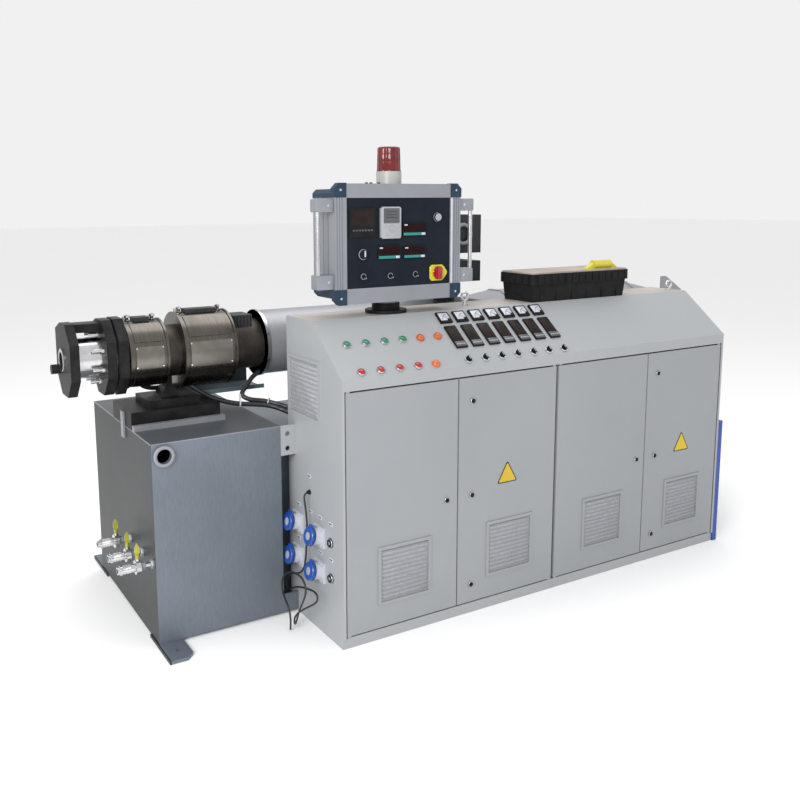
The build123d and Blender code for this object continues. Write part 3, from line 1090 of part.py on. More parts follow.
def build_barrel():
    """Head flange, adapter with its bolts, clamp flange, barrel, heaters, terminal boxes and shroud."""
    flange = cut_corner_plate(FLANGE_LEFT, FLANGE_THICKNESS, FLANGE_WIDTH, FLANGE_HEIGHT, FLANGE_CORNER,
                              LUG_CORNER)
    ring_left = FLANGE_LEFT - DIE_RING_PROUD
    flange += axis_rod(ring_left, DIE_RING_PROUD, DIE_RING_RADIUS)
    flange -= axis_rod(ring_left - OVERRUN, DIE_RING_PROUD + FLANGE_THICKNESS + 2 * OVERRUN, DIE_BORE)
    flange += rod_x((FLANGE_LEFT - STUB_LENGTH, FLANGE_LEFT), AXIS_Y + STUB_PLACE[0], AXIS_Z + STUB_PLACE[1],
                    STUB_RADIUS)
    flange += block((ADAPTER_LEFT, CLAMP_LEFT), (AXIS_Y - SPACER_WIDTH / 2, AXIS_Y + SPACER_WIDTH / 2),
                    (AXIS_Z + SPACER_LOW, AXIS_Z + SPACER_HIGH))
    save("head_flange", flange)

    bolts = []
    for index in range(BOLT_COUNT):
        angle = 2 * math.pi * (index + 1 / 2) / BOLT_COUNT
        y, z = AXIS_Y + BOLT_CIRCLE * math.cos(angle), AXIS_Z + BOLT_CIRCLE * math.sin(angle)
        nut = Plane(origin=(CLAMP_LEFT, y, z), z_dir=(-1, 0, 0)) * RegularPolygon(NUT_RADIUS, 6)
        shank = rod_x((CLAMP_LEFT - BOLT_LENGTH, CLAMP_LEFT), y, z, BOLT_RADIUS)
        bolts.append(shank + extrude(nut, NUT_LENGTH))
    save("head_adapter", axis_rod(ADAPTER_LEFT, ADAPTER_LENGTH, ADAPTER_RADIUS), *bolts)

    clamp = cut_corner_plate(CLAMP_LEFT, CLAMP_PLATE, CLAMP_WIDTH, CLAMP_HEIGHT, CLAMP_CORNER, LUG_CORNER)
    clamp += axis_rod(CLAMP_LEFT + CLAMP_PLATE, CLAMP_GROOVE, CLAMP_GROOVE_RADIUS)
    clamp += cut_corner_plate(BARREL_LEFT - CLAMP_PLATE, CLAMP_PLATE, CLAMP_WIDTH + CLAMP_STEP,
                              CLAMP_HEIGHT + CLAMP_STEP, CLAMP_CORNER, LUG_CORNER)
    save("clamp_flange", clamp)
    save("barrel", axis_rod(BARREL_LEFT, SHROUD_RIGHT - BARREL_LEFT, BARREL_RADIUS))

    heaters = ((HEATER_ONE_LEFT, HEATER_ONE_LENGTH, HEATER_ONE_RADIUS),
               (HEATER_TWO_LEFT, HEATER_TWO_LENGTH, HEATER_TWO_RADIUS))
    save("heater_bands", *[heater(*sizes) for sizes in heaters])
    terminal_x = (TERMINAL_LEFT, TERMINAL_LEFT + TERMINAL_LENGTH)
    terminal_y = (AXIS_Y - TERMINAL_FRONT, AXIS_Y + TERMINAL_BACK)
    terminal = block(terminal_x, terminal_y, (AXIS_Z + TERMINAL_LOW, AXIS_Z + TERMINAL_HIGH))
    pitch = TERMINAL_LENGTH / TERMINAL_RIB_COUNT
    for index in range(TERMINAL_RIB_COUNT):
        x = TERMINAL_LEFT + (index + 1 / 2) * pitch
        terminal -= block((x - TERMINAL_RIB / 2, x + TERMINAL_RIB / 2),
                          (terminal_y[0] - OVERRUN, terminal_y[0] + TERMINAL_RIB),
                          (AXIS_Z, AXIS_Z + TERMINAL_HIGH - TERMINAL_RIB))
    terminal -= axis_rod(TERMINAL_LEFT - OVERRUN, TERMINAL_LENGTH + 2 * OVERRUN, BARREL_RADIUS)
    save("barrel_terminals", terminal, *[heater_box(*sizes) for sizes in heaters])

    shroud = axis_ring(SHROUD_LEFT, SHROUD_RIGHT - SHROUD_LEFT, SHROUD_RADIUS)
    shroud += axis_ring(SHROUD_LEFT, SHROUD_RING, SHROUD_RADIUS + SHROUD_RING_PROUD)
    save("barrel_shroud", shroud)


def build_support():
    """The slide, saddle and stand that carry the barrel, the rail, the stop and the drip tray."""
    rail_y = BASE_FRONT + RAIL_FROM_FRONT
    rail = block((BASE_LEFT, BASE_LEFT + RAIL_LENGTH), (rail_y, rail_y + RAIL_SIZE),
                 (BASE_TOP, BASE_TOP + RAIL_SIZE))
    stop_y = BASE_FRONT + STOP_FROM_FRONT
    stop = block((BASE_LEFT - STOP_THICKNESS, BASE_LEFT), (stop_y, stop_y + STOP_WIDTH),
                 (BASE_TOP - STOP_BELOW, BASE_TOP + STOP_ABOVE))
    save("slide_rail", rail, stop)

    slide_y = BASE_FRONT + SLIDE_FROM_FRONT
    support = block((BASE_LEFT, BASE_LEFT + SLIDE_LENGTH), (slide_y, slide_y + SLIDE_DEPTH),
                    (BASE_TOP, SLIDE_TOP))
    middle = STAND_LEFT + STAND_LENGTH / 2
    support += block((middle - SADDLE_LENGTH / 2, middle + SADDLE_LENGTH / 2),
                     (AXIS_Y - SADDLE_DEPTH / 2, AXIS_Y + SADDLE_DEPTH / 2), (SLIDE_TOP, SADDLE_TOP))
    foot = Pos(middle, AXIS_Y, SADDLE_TOP) * Rectangle(STAND_FOOT_LENGTH, STAND_FOOT_DEPTH)
    neck = Pos(middle, AXIS_Y, SADDLE_TOP + STAND_FOOT_HEIGHT) * Rectangle(STAND_LENGTH, STAND_DEPTH)
    stand = loft([foot, neck])
    stand += block((STAND_LEFT, STAND_LEFT + STAND_LENGTH),
                   (AXIS_Y - STAND_DEPTH / 2, AXIS_Y + STAND_DEPTH / 2), (SADDLE_TOP, AXIS_Z))
    stand -= axis_rod(STAND_LEFT - OVERRUN, STAND_LENGTH + 2 * OVERRUN, BARREL_RADIUS)
    save("barrel_support", support + stand)

    tray_x = (TRAY_LEFT, TRAY_RIGHT)
    tray_y = (AXIS_Y - TRAY_FROM_AXIS[0], AXIS_Y + TRAY_FROM_AXIS[1])
    tray_z = AXIS_Z - TRAY_DROP
    tray = block(tray_x, tray_y, (tray_z, tray_z + SHEET))
    tray += block(tray_x, (tray_y[0], tray_y[0] + SHEET), (tray_z, tray_z + TRAY_FRONT_LIP))
    tray += block(tray_x, (tray_y[1] - SHEET, tray_y[1]), (tray_z, tray_z + TRAY_BACK_LIP))
    saddle_right = middle + SADDLE_LENGTH / 2
    tray -= block((TRAY_LEFT - OVERRUN, saddle_right + TRAY_GAP),
                  (tray_y[0] - OVERRUN, AXIS_Y + SADDLE_DEPTH / 2 + TRAY_GAP), (SLIDE_TOP, AXIS_Z))
    for inset in TRAY_LEG_IN:
        tray += rod_z(TRAY_LEG_X, tray_y[0] + inset, (SLIDE_TOP, tray_z + SHEET), TRAY_LEG_RADIUS)
    save("drip_tray", tray)


def build_cords():
    """The cord on the cabinet's left end and the conduits from the barrel into the cabinet's back."""
    save("side_cord", tube_along(CORD_POINTS, CORD_RADIUS, CORD_SHARE))
    conduits = []
    for route in (CONDUIT_FRONT, CONDUIT_DROP, CONDUIT_REAR):
        points = [(x, CABINET_DEPTH + behind, z) for x, behind, z in route]
        tube = tube_along(points, CONDUIT_RADIUS, CONDUIT_SHARE)
        tube -= block((0, CABINET_LENGTH), (0, CABINET_DEPTH), (BED_TOP, CABINET_HEIGHT))
        tube -= block((BASE_LEFT, BASE_LEFT + SLIDE_LENGTH), (BASE_FRONT, BASE_BACK), (BASE_TOP, SLIDE_TOP))
        tube -= axis_rod(HEATER_ONE_LEFT, HEATER_ONE_LENGTH, HEATER_ONE_RADIUS)
        tube -= axis_rod(HEATER_TWO_LEFT, HEATER_TWO_LENGTH, HEATER_TWO_RADIUS)
        tube -= axis_rod(SHROUD_LEFT, SHROUD_RIGHT - SHROUD_LEFT, SHROUD_RADIUS + SHROUD_RING_PROUD)
        conduits.append(tube)
    save("conduits", *conduits)


def build_drive():
    """Feed throat and feeder, the drive's ribbed hipped cover and its end plate."""
    throat_y = (AXIS_Y - THROAT_DEPTH / 2, AXIS_Y + THROAT_DEPTH / 2)
    feeder = block((SHROUD_RIGHT, SHROUD_RIGHT + THROAT_LENGTH), throat_y, (BED_TOP, THROAT_TOP))
    feeder += rod_z(FEEDER_X, AXIS_Y, (THROAT_TOP, FEEDER_UPPER_BOTTOM), FEEDER_NECK_RADIUS)
    half = FEEDER_WIDTH / 2
    side_x, side_y = (FEEDER_X - half, FEEDER_X + half), (AXIS_Y - half, AXIS_Y + half)
    feeder += block(side_x, side_y, (FEEDER_LOWER_BOTTOM, FEEDER_LOWER_TOP))
    feeder += block(side_x, side_y, (FEEDER_UPPER_BOTTOM, FEEDER_UPPER_TOP))
    ring_x, ring_z = FEEDER_X + FEEDER_RING_SHIFT, (FEEDER_UPPER_BOTTOM + FEEDER_UPPER_TOP) / 2
    ring_y = (side_y[0] - FEEDER_RING_PROUD, side_y[0])
    feeder += rod_y(ring_x, ring_y, ring_z, FEEDER_RING_RADIUS) - rod_y(
        ring_x, (ring_y[0] - OVERRUN, ring_y[1]), ring_z, FEEDER_RING_RADIUS - FEEDER_RING_WALL)
    save("feeder", feeder)

    cover_x = (COVER_LEFT, COVER_RIGHT)
    cover_y = (AXIS_Y - COVER_FROM_AXIS[0], AXIS_Y + COVER_FROM_AXIS[1])
    length, depth = COVER_RIGHT - COVER_LEFT, sum(COVER_FROM_AXIS)
    centre = Pos(sum(cover_x) / 2, sum(cover_y) / 2, 0)
    eaves = centre * Pos(0, 0, COVER_EAVES) * Rectangle(length, depth)
    ridge = centre * Pos(0, 0, COVER_RIDGE) * Rectangle(
        length - 2 * COVER_END_RUN, depth - 2 * COVER_SIDE_RUN)
    cover = block(cover_x, cover_y, (BED_TOP, COVER_EAVES)) + loft([eaves, ridge])
    ridge_y = (sum(cover_y) / 2 - depth / 2 + COVER_SIDE_RUN, sum(cover_y) / 2 + depth / 2 - COVER_SIDE_RUN)
    pitch = (COVER_RIBS[1] - COVER_RIBS[0]) / COVER_RIB_COUNT
    for index in range(COVER_RIB_COUNT):
        x = COVER_RIBS[0] + (index + 1 / 2) * pitch
        rib = Polyline((cover_y[0], COVER_EAVES), (cover_y[0], COVER_EAVES + COVER_RIB_PROUD),
                       (ridge_y[0], COVER_RIDGE + COVER_RIB_PROUD),
                       (ridge_y[1], COVER_RIDGE + COVER_RIB_PROUD),
                       (cover_y[1], COVER_EAVES + COVER_RIB_PROUD), (cover_y[1], COVER_EAVES), close=True)
        cover += extrude(Plane.YZ.offset(x - COVER_RIB_WIDTH / 2) * make_face(rib), COVER_RIB_WIDTH)
    plate_y = CABINET_DEPTH + END_PLATE_BEHIND
    plate = [(END_PLATE_LEFT, BED_TOP), (END_PLATE_RIGHT, BED_TOP), (END_PLATE_RIGHT, END_PLATE_SHOULDER),
             (END_PLATE_PEAK, END_PLATE_TOP), (END_PLATE_LEFT, END_PLATE_TOP)]
    save("drive_cover", cover, front_plate(plate, plate_y, plate_y + BASE_WALL))


build_cabinet()
build_console()
build_doors()
build_left_end()
build_top_pieces()
build_control_box()
build_panel_pieces()
build_base()
build_valves()
build_barrel()
build_support()
build_cords()
build_drive()
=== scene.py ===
"""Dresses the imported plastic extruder: its finishes, instruments, cords, floor, lights and camera.

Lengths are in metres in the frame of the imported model, with X along the machine, Y into its depth and Z up.
Places written in millimetres are measured from the cabinet's front left floor corner, as the model's are.
"""

import json
import logging
import math
from dataclasses import dataclass
from enum import Enum
from typing import Any, Iterable, Mapping, Optional, Sequence, Union

import bpy
import numpy as np
from mathutils import Matrix, Vector

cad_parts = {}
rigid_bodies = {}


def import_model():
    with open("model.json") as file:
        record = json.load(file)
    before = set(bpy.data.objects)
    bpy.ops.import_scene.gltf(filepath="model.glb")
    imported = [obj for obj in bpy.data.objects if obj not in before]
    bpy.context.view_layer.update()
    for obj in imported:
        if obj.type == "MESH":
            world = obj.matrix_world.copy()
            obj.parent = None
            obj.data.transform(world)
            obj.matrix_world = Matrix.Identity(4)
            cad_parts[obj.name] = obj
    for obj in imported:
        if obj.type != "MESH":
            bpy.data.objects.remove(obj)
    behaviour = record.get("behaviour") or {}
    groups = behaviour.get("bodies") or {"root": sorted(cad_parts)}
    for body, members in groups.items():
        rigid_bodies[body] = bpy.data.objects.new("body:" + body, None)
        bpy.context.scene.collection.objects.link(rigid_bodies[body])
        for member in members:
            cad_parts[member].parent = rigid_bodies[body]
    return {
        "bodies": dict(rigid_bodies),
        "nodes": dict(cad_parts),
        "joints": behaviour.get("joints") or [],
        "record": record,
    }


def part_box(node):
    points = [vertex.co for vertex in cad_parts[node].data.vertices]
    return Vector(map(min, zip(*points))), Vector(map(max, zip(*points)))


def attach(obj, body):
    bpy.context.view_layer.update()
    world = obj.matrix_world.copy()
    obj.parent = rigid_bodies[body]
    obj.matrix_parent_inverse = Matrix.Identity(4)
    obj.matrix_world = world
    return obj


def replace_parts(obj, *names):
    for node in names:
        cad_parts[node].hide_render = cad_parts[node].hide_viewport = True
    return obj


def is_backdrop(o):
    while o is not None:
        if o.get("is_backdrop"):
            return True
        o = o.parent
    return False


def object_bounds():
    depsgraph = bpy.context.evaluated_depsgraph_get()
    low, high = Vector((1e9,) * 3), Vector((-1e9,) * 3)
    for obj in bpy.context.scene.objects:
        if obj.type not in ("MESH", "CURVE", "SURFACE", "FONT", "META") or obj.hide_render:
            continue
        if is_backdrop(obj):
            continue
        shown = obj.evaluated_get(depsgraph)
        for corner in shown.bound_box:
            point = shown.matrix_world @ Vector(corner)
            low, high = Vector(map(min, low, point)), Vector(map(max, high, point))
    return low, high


LOG = logging.getLogger("extruder")
MM = 0.001
CORNER = (-0.940, -0.2015)  # the front left floor corner of the cabinet, in the frame
SUNK = 0.3  # how far the foot of a piece goes under the surface that carries it, in millimetres

Point = tuple[float, float, float]
Colour = tuple[float, float, float]
Number = Union["Signal", float]


def cabinet(x: float, y: float, z: float) -> Point:
    """Turn millimetres from the cabinet's front left floor corner into a place in the frame.

    Args:
        x: Distance along the cabinet.
        y: Distance into its depth.
        z: Height above the floor.

    Returns:
        The place in metres.
    """
    return (x * MM + CORNER[0], y * MM + CORNER[1], z * MM)


class Body(str, Enum):
    """The rigid bodies that pieces ride on."""

    MACHINE = "machine"
    BOX = "control_box"
    SWITCH = "main_switch"
    DOOR_1 = "door_1"
    DOOR_2 = "door_2"
    DOOR_3 = "door_3"
    DOOR_4 = "door_4"


DOORS = (Body.DOOR_1, Body.DOOR_2, Body.DOOR_3, Body.DOOR_4)


# Shader maths


@dataclass(frozen=True)
class Signal:
    """A number on its way through a material's nodes: each operator adds its Math node."""

    graph: "Graph"
    socket: bpy.types.NodeSocket

    def _math(self, operation: str, first: Number, second: Number) -> "Signal":
        """Add one Math node and return its result."""
        node = self.graph.add("ShaderNodeMath", {"operation": operation}, {0: first, 1: second})
        return Signal(self.graph, node.outputs[0])

    def __add__(self, other: Number) -> "Signal":
        """Self plus other."""
        return self._math("ADD", self, other)

    __radd__ = __add__

    def __sub__(self, other: Number) -> "Signal":
        """Self less other."""
        return self._math("SUBTRACT", self, other)

    def __rsub__(self, other: Number) -> "Signal":
        """Other less self."""
        return self._math("SUBTRACT", other, self)

    def __mul__(self, other: Number) -> "Signal":
        """Self times other."""
        return self._math("MULTIPLY", self, other)

    __rmul__ = __mul__

    def step(self, low: float, high: float) -> "Signal":
        """Rise smoothly from 0 at low to 1 at high.

        Args:
            low: The number at and below which the result is 0.
            high: The number at and above which the result is 1.

        Returns:
            The smooth step.
        """
        node = self.graph.add("ShaderNodeMapRange", {"interpolation_type": "SMOOTHSTEP"},
                              {"Value": self, "From Min": low, "From Max": high})
        return Signal(self.graph, node.outputs["Result"])


class Graph:
    """The node tree of one material, read from the piece's own coordinates."""

    def __init__(self, name: str) -> None:
        """Start an empty material.

        Args:
            name: The material's name.
        """
        self.material = bpy.data.materials.new(name)
        self.material.use_nodes = True
        self.tree = self.material.node_tree
        self.tree.nodes.clear()
        self.output = self.add("ShaderNodeOutputMaterial")
        self.coordinates = self.add("ShaderNodeTexCoord").outputs["Object"]

    def add(self, kind: str, settings: Optional[Mapping[str, Any]] = None,
            sockets: Optional[Mapping[Any, Any]] = None) -> bpy.types.Node:
        """Add a node: its settings first, then the values or links of its sockets.

        Args:
            kind: The node's type.
            settings: Properties of the node.
            sockets: Values, signals or output sockets by input name or number.

        Returns:
            The node.
        """
        node = self.tree.nodes.new(kind)
        for name, value in (settings or {}).items():
            setattr(node, name, value)
        for name, value in (sockets or {}).items():
            source = value.socket if isinstance(value, Signal) else value
            if isinstance(source, bpy.types.NodeSocket):
                self.tree.links.new(source, node.inputs[name])
            else:
                node.inputs[name].default_value = source
        return node

    def axis(self, index: int) -> Signal:
        """One coordinate of the surface point, by its number."""
        split = self.add("ShaderNodeSeparateXYZ", {}, {0: self.coordinates})
        return Signal(self, split.outputs[index])

    def noise(self, scale: float, detail: float, stretch: Point = (1.0, 1.0, 1.0)) -> Signal:
        """Noise of the surface point, stretched along the axes.

        Args:
            scale: Waves in a metre.
            detail: Octaves.
            stretch: Factors for the three coordinates; a small one draws the grain out that way.

        Returns:
            Numbers about one half.
        """
        mapping = self.add("ShaderNodeMapping", {}, {"Vector": self.coordinates, "Scale": stretch})
        node = self.add("ShaderNodeTexNoise", {},
                        {"Vector": mapping.outputs[0], "Scale": scale, "Detail": detail})
        return Signal(self, node.outputs[0])

    def blend(self, share: Number, first: Any, second: Any) -> bpy.types.NodeSocket:
        """Mix two colours.

        Args:
            share: How much of the second.
            first: A colour or a socket.
            second: A colour or a socket.

        Returns:
            The mixed colour.
        """
        def full(colour: Any) -> Any:
            """A colour with its alpha, or the socket as it is."""
            return (*colour, 1.0) if isinstance(colour, tuple) else colour
        node = self.add("ShaderNodeMix", {"data_type": "RGBA"}, {0: share, 6: full(first), 7: full(second)})
        return node.outputs[2]

    def bump(self, height: Signal, depth: float) -> bpy.types.NodeSocket:
        """A normal bent by a height.

        Args:
            height: Height as a number from 0 to 1.
            depth: What 1 stands for, in metres.

        Returns:
            The normal.
        """
        return self.add("ShaderNodeBump", {},
                        {"Height": height, "Distance": depth, "Strength": 1.0}).outputs[0]


# Finishes


@dataclass(frozen=True)
class Finish:
    """A finish: a colour that clouds into a second one, a grain and a gloss that varies with them."""

    name: str
    colour: Colour
    shade: Colour
    slot: str
    metallic: float = 0.0
    gloss: tuple[float, float] = (0.4, 0.55)
    cloud: float = 6.0
    grain: float = 400.0
    stretch: Point = (1.0, 1.0, 1.0)
    depth: float = 0.0
    coat: float = 0.0
    level: float = 0.5

    def tint(self, graph: Graph, cloud: Signal, grain: Signal) -> Any:
        """The colour over the surface: the second colour shows where cloud and grain run high.

        Args:
            graph: The material's graph.
            cloud: Broad noise.
            grain: Fine noise.

        Returns:
            A colour socket.
        """
        share = (cloud * 0.7 + grain * 0.3).step(0.3, 0.7)
        return graph.blend(share, self.colour, self.shade)

    def height(self, graph: Graph, grain: Signal) -> Signal:
        """The relief of the surface: the grain itself."""
        return grain

    def finish_shader(self, shader: bpy.types.Node) -> None:
        """Set what is the same all over the surface on the shader's own sockets.

        Args:
            shader: The material's shader.
        """
        shader.inputs["Metallic"].default_value = self.metallic
        shader.inputs["Coat Weight"].default_value = self.coat
        shader.inputs["Specular IOR Level"].default_value = self.level

    def build(self) -> bpy.types.Material:
        """Make the material once and hand the same one out afterwards.

        Returns:
            The material.
        """
        made = bpy.data.materials.get("finish_" + self.name)
        if made:
            return made
        graph = Graph("finish_" + self.name)
        cloud = graph.noise(self.cloud, 4.0)
        grain = graph.noise(self.grain, 3.0, self.stretch)
        low, high = self.gloss
        shader = graph.add("ShaderNodeBsdfPrincipled", {}, {
            "Base Color": self.tint(graph, cloud, grain),
            "Roughness": (cloud * 0.5 + grain * 0.5) * (high - low) + low})
        if self.depth:
            graph.tree.links.new(graph.bump(self.height(graph, grain), self.depth), shader.inputs["Normal"])
        self.finish_shader(shader)
        graph.tree.links.new(shader.outputs[0], graph.output.inputs[0])
        return graph.material


@dataclass(frozen=True)
class HeaterSheet(Finish):
    """Stainless sheet that heat has stained in straw and brown bands by length, with painted shade that
    darkens it towards the ground.
    """

    # The heat stain's colour, also laid low down as painted shade.
    stain_and_shade: Colour = (0.075, 0.060, 0.046)
    shade_below: float = 0.83
    shade_clear_above: float = 1.02

    def tint(self, graph: Graph, cloud: Signal, grain: Signal) -> Any:
        """Brushed colour, stained by long waves along the barrel, and darkened low down by painted shade.

        Args:
            graph: The material's graph.
            cloud: Broad noise.
            grain: Fine noise.

        Returns:
            A colour socket.
        """
        bare = graph.blend(grain.step(0.2, 0.8), self.colour, self.shade)
        waves = graph.noise(9.0, 3.0, (1.0, 0.35, 0.35))
        # Painted shade: 1 on the band's underside, fading out a little above its axis.
        low = 1.0 - graph.axis(2).step(self.shade_below, self.shade_clear_above)
        return graph.blend(waves.step(0.5, 0.85) * 0.6 + low * 0.45, bare, self.stain_and_shade)


@dataclass(frozen=True)
class DustAndSheenTop(Finish):
    """Paint that lies flat, with warm dust and a painted sheen in patches on its upward faces."""

    # Warm cream for the dust and the painted sheen on the top.
    dust_and_sheen: Colour = (0.50, 0.41, 0.34)
    level_top: float = 1.0985
    sharpness: float = 0.001

    def tint(self, graph: Graph, cloud: Signal, grain: Signal) -> Any:
        """Paint with dust and a painted sheen only on its upward faces near the top's height.

        Args:
            graph: The material's graph.
            cloud: Broad noise.
            grain: Fine noise.

        Returns:
            A colour socket.
        """
        paint = graph.blend(cloud.step(0.35, 0.7), self.colour, self.shade)
        flat = graph.axis(2).step(self.level_top, self.level_top + self.sharpness)
        patches = (graph.noise(7.0, 4.0) * 1.1).step(0.35, 0.75)
        # Dust and painted sheen in patches on the upward faces.
        return graph.blend(flat * (patches * 0.45 + 0.2), paint, self.dust_and_sheen)


@dataclass(frozen=True)
class BasePaint(Finish):
    """Silver paint with painted shade: darker and greener on the base's left face, and darker on its top."""

    # Painted shade colours: end for the left face, top for the top.
    end: Colour = (0.013, 0.016, 0.017)
    top: Colour = (0.058, 0.062, 0.068)
    plane: float = -1.4706
    level_top: float = 0.7124
    sharpness: float = 0.0004

    def tint(self, graph: Graph, cloud: Signal, grain: Signal) -> Any:
        """Silver, with painted shade on the end face, left of its plane, and on the top, above its height.

        Args:
            graph: The material's graph.
            cloud: Broad noise.
            grain: Fine noise.

        Returns:
            A colour socket.
        """
        silver = graph.blend((cloud * 0.7 + grain * 0.3).step(0.3, 0.7), self.colour, self.shade)
        above = graph.axis(2).step(self.level_top, self.level_top + self.sharpness)
        # Painted shade on the top, mottled by the cloud.
        top_shaded = graph.blend(above * (cloud * 0.4 + 0.6), silver, self.top)
        # Painted shade on the left face.
        left = 1.0 - graph.axis(0).step(self.plane, self.plane + self.sharpness)
        return graph.blend(left, top_shaded, self.end)


@dataclass(frozen=True)
class RibbedLens(Finish):
    """Clear red moulding that lets a little light through."""

    clear: float = 0.05
    bend: float = 1.49
    gleam: float = 0.15

    def finish_shader(self, shader: bpy.types.Node) -> None:
        """Let light through the moulding.

        Args:
            shader: The material's shader.
        """
        shader.inputs["Metallic"].default_value = 0.0
        shader.inputs["Transmission Weight"].default_value = self.clear
        shader.inputs["IOR"].default_value = self.bend
        shader.inputs["Coat Weight"].default_value = self.gleam


@dataclass(frozen=True)
class Lattice(Finish):
    """A moulding with a fine woven relief, as on a spiral-wrapped hose or a rubber lead."""

    pitch: float = 260.0

    def height(self, graph: Graph, grain: Signal) -> Signal:
        """Waves across the run laid over the grain."""
        wave = graph.add("ShaderNodeTexWave", {"bands_direction": "DIAGONAL"},
                         {"Vector": graph.coordinates, "Scale": self.pitch})
        return Signal(graph, wave.outputs[1]) * 0.7 + grain * 0.3


class Paints:
    """The machine's painted and bare metals."""

    # The cabinet grey is a lighter copy of the door grey, so that the left end reads as bright as the doors:
    # painted light. The top's first colour is the same lighter copy.
    CABINET = Finish("cabinet_grey_lit", (0.315, 0.328, 0.340), (0.292, 0.305, 0.318), "cabinet_paint",
                     gloss=(0.34, 0.46), cloud=1.6, grain=900.0, depth=0.00006)
    TOP = DustAndSheenTop("cabinet_top_grey", (0.315, 0.328, 0.340), (0.275, 0.285, 0.292), "cabinet_paint",
                   gloss=(0.38, 0.6), cloud=2.5, grain=700.0, depth=0.00006)
    DOOR = Finish("door_grey", (0.262, 0.274, 0.288), (0.240, 0.252, 0.266), "door_paint", gloss=(0.32, 0.44),
                  cloud=1.8, grain=900.0, depth=0.00006)
    FRAME = Finish("frame_grey", (0.22, 0.235, 0.245), (0.17, 0.185, 0.195), "frame_paint", cloud=4.0,
                   depth=0.00005)
    BASE = BasePaint("base_silver", (0.150, 0.176, 0.206), (0.108, 0.128, 0.152), "base_paint", metallic=0.3,
                     gloss=(0.36, 0.52), cloud=2.2, grain=260.0, stretch=(1.0, 1.0, 0.15), depth=0.00008)
    BLACK = Finish("shop_black", (0.016, 0.017, 0.019), (0.034, 0.035, 0.037), "dark_paint", level=0.3,
                   gloss=(0.4, 0.7), cloud=12.0, grain=300.0, depth=0.0002)
    CAST = Finish("blackened_steel", (0.008, 0.008, 0.009), (0.024, 0.023, 0.023), "black_steel",
                  metallic=0.2, level=0.1, gloss=(0.3, 0.55), cloud=18.0, grain=240.0, depth=0.0004)
    COVER = Finish("cover_grey", (0.345, 0.350, 0.372), (0.265, 0.270, 0.290), "cover_paint", metallic=0.5,
                   gloss=(0.34, 0.5), cloud=3.0, grain=300.0, stretch=(0.2, 1.0, 1.0), depth=0.00006)
    HEATER = HeaterSheet("heater_sheet", (0.150, 0.137, 0.121), (0.108, 0.098, 0.086), "stainless",
                         metallic=1.0, gloss=(0.20, 0.34), cloud=14.0, grain=340.0, stretch=(1.0, 0.05, 0.05),
                         depth=0.000006)
    PAD = Finish("heater_pad", (0.25, 0.235, 0.212), (0.18, 0.166, 0.147), "stainless", metallic=1.0,
                 gloss=(0.2, 0.32), cloud=22.0, grain=420.0, stretch=(1.0, 0.05, 0.05), depth=0.00002)
    BARE = Finish("burnt_steel", (0.045, 0.038, 0.034), (0.092, 0.078, 0.068), "bare_steel", metallic=0.9,
                  gloss=(0.35, 0.6), cloud=16.0, grain=200.0, depth=0.0001)
    BRIGHT = Finish("bright_steel", (0.68, 0.68, 0.69), (0.50, 0.50, 0.52), "chrome", metallic=1.0,
                    gloss=(0.12, 0.28), cloud=25.0, grain=500.0, depth=0.00003)
    ALUMINIUM = Finish("satin_aluminium", (0.250, 0.262, 0.284), (0.212, 0.224, 0.246), "aluminium",
                       metallic=0.35, gloss=(0.36, 0.5), cloud=3.0, grain=600.0, stretch=(0.05, 1.0, 1.0),
                       depth=0.00004)
    TRAY = Finish("tray_teal", (0.085, 0.120, 0.135), (0.06, 0.085, 0.10), "tray_paint", gloss=(0.3, 0.5),
                  depth=0.00006)
    STRIP = Finish("strip_blue", (0.016, 0.060, 0.30), (0.012, 0.045, 0.22), "strip_blue", gloss=(0.3, 0.45))
    OLIVE = Finish("lever_olive", (0.36, 0.34, 0.03), (0.26, 0.25, 0.03), "olive_paint", gloss=(0.3, 0.45),
                   cloud=40.0)


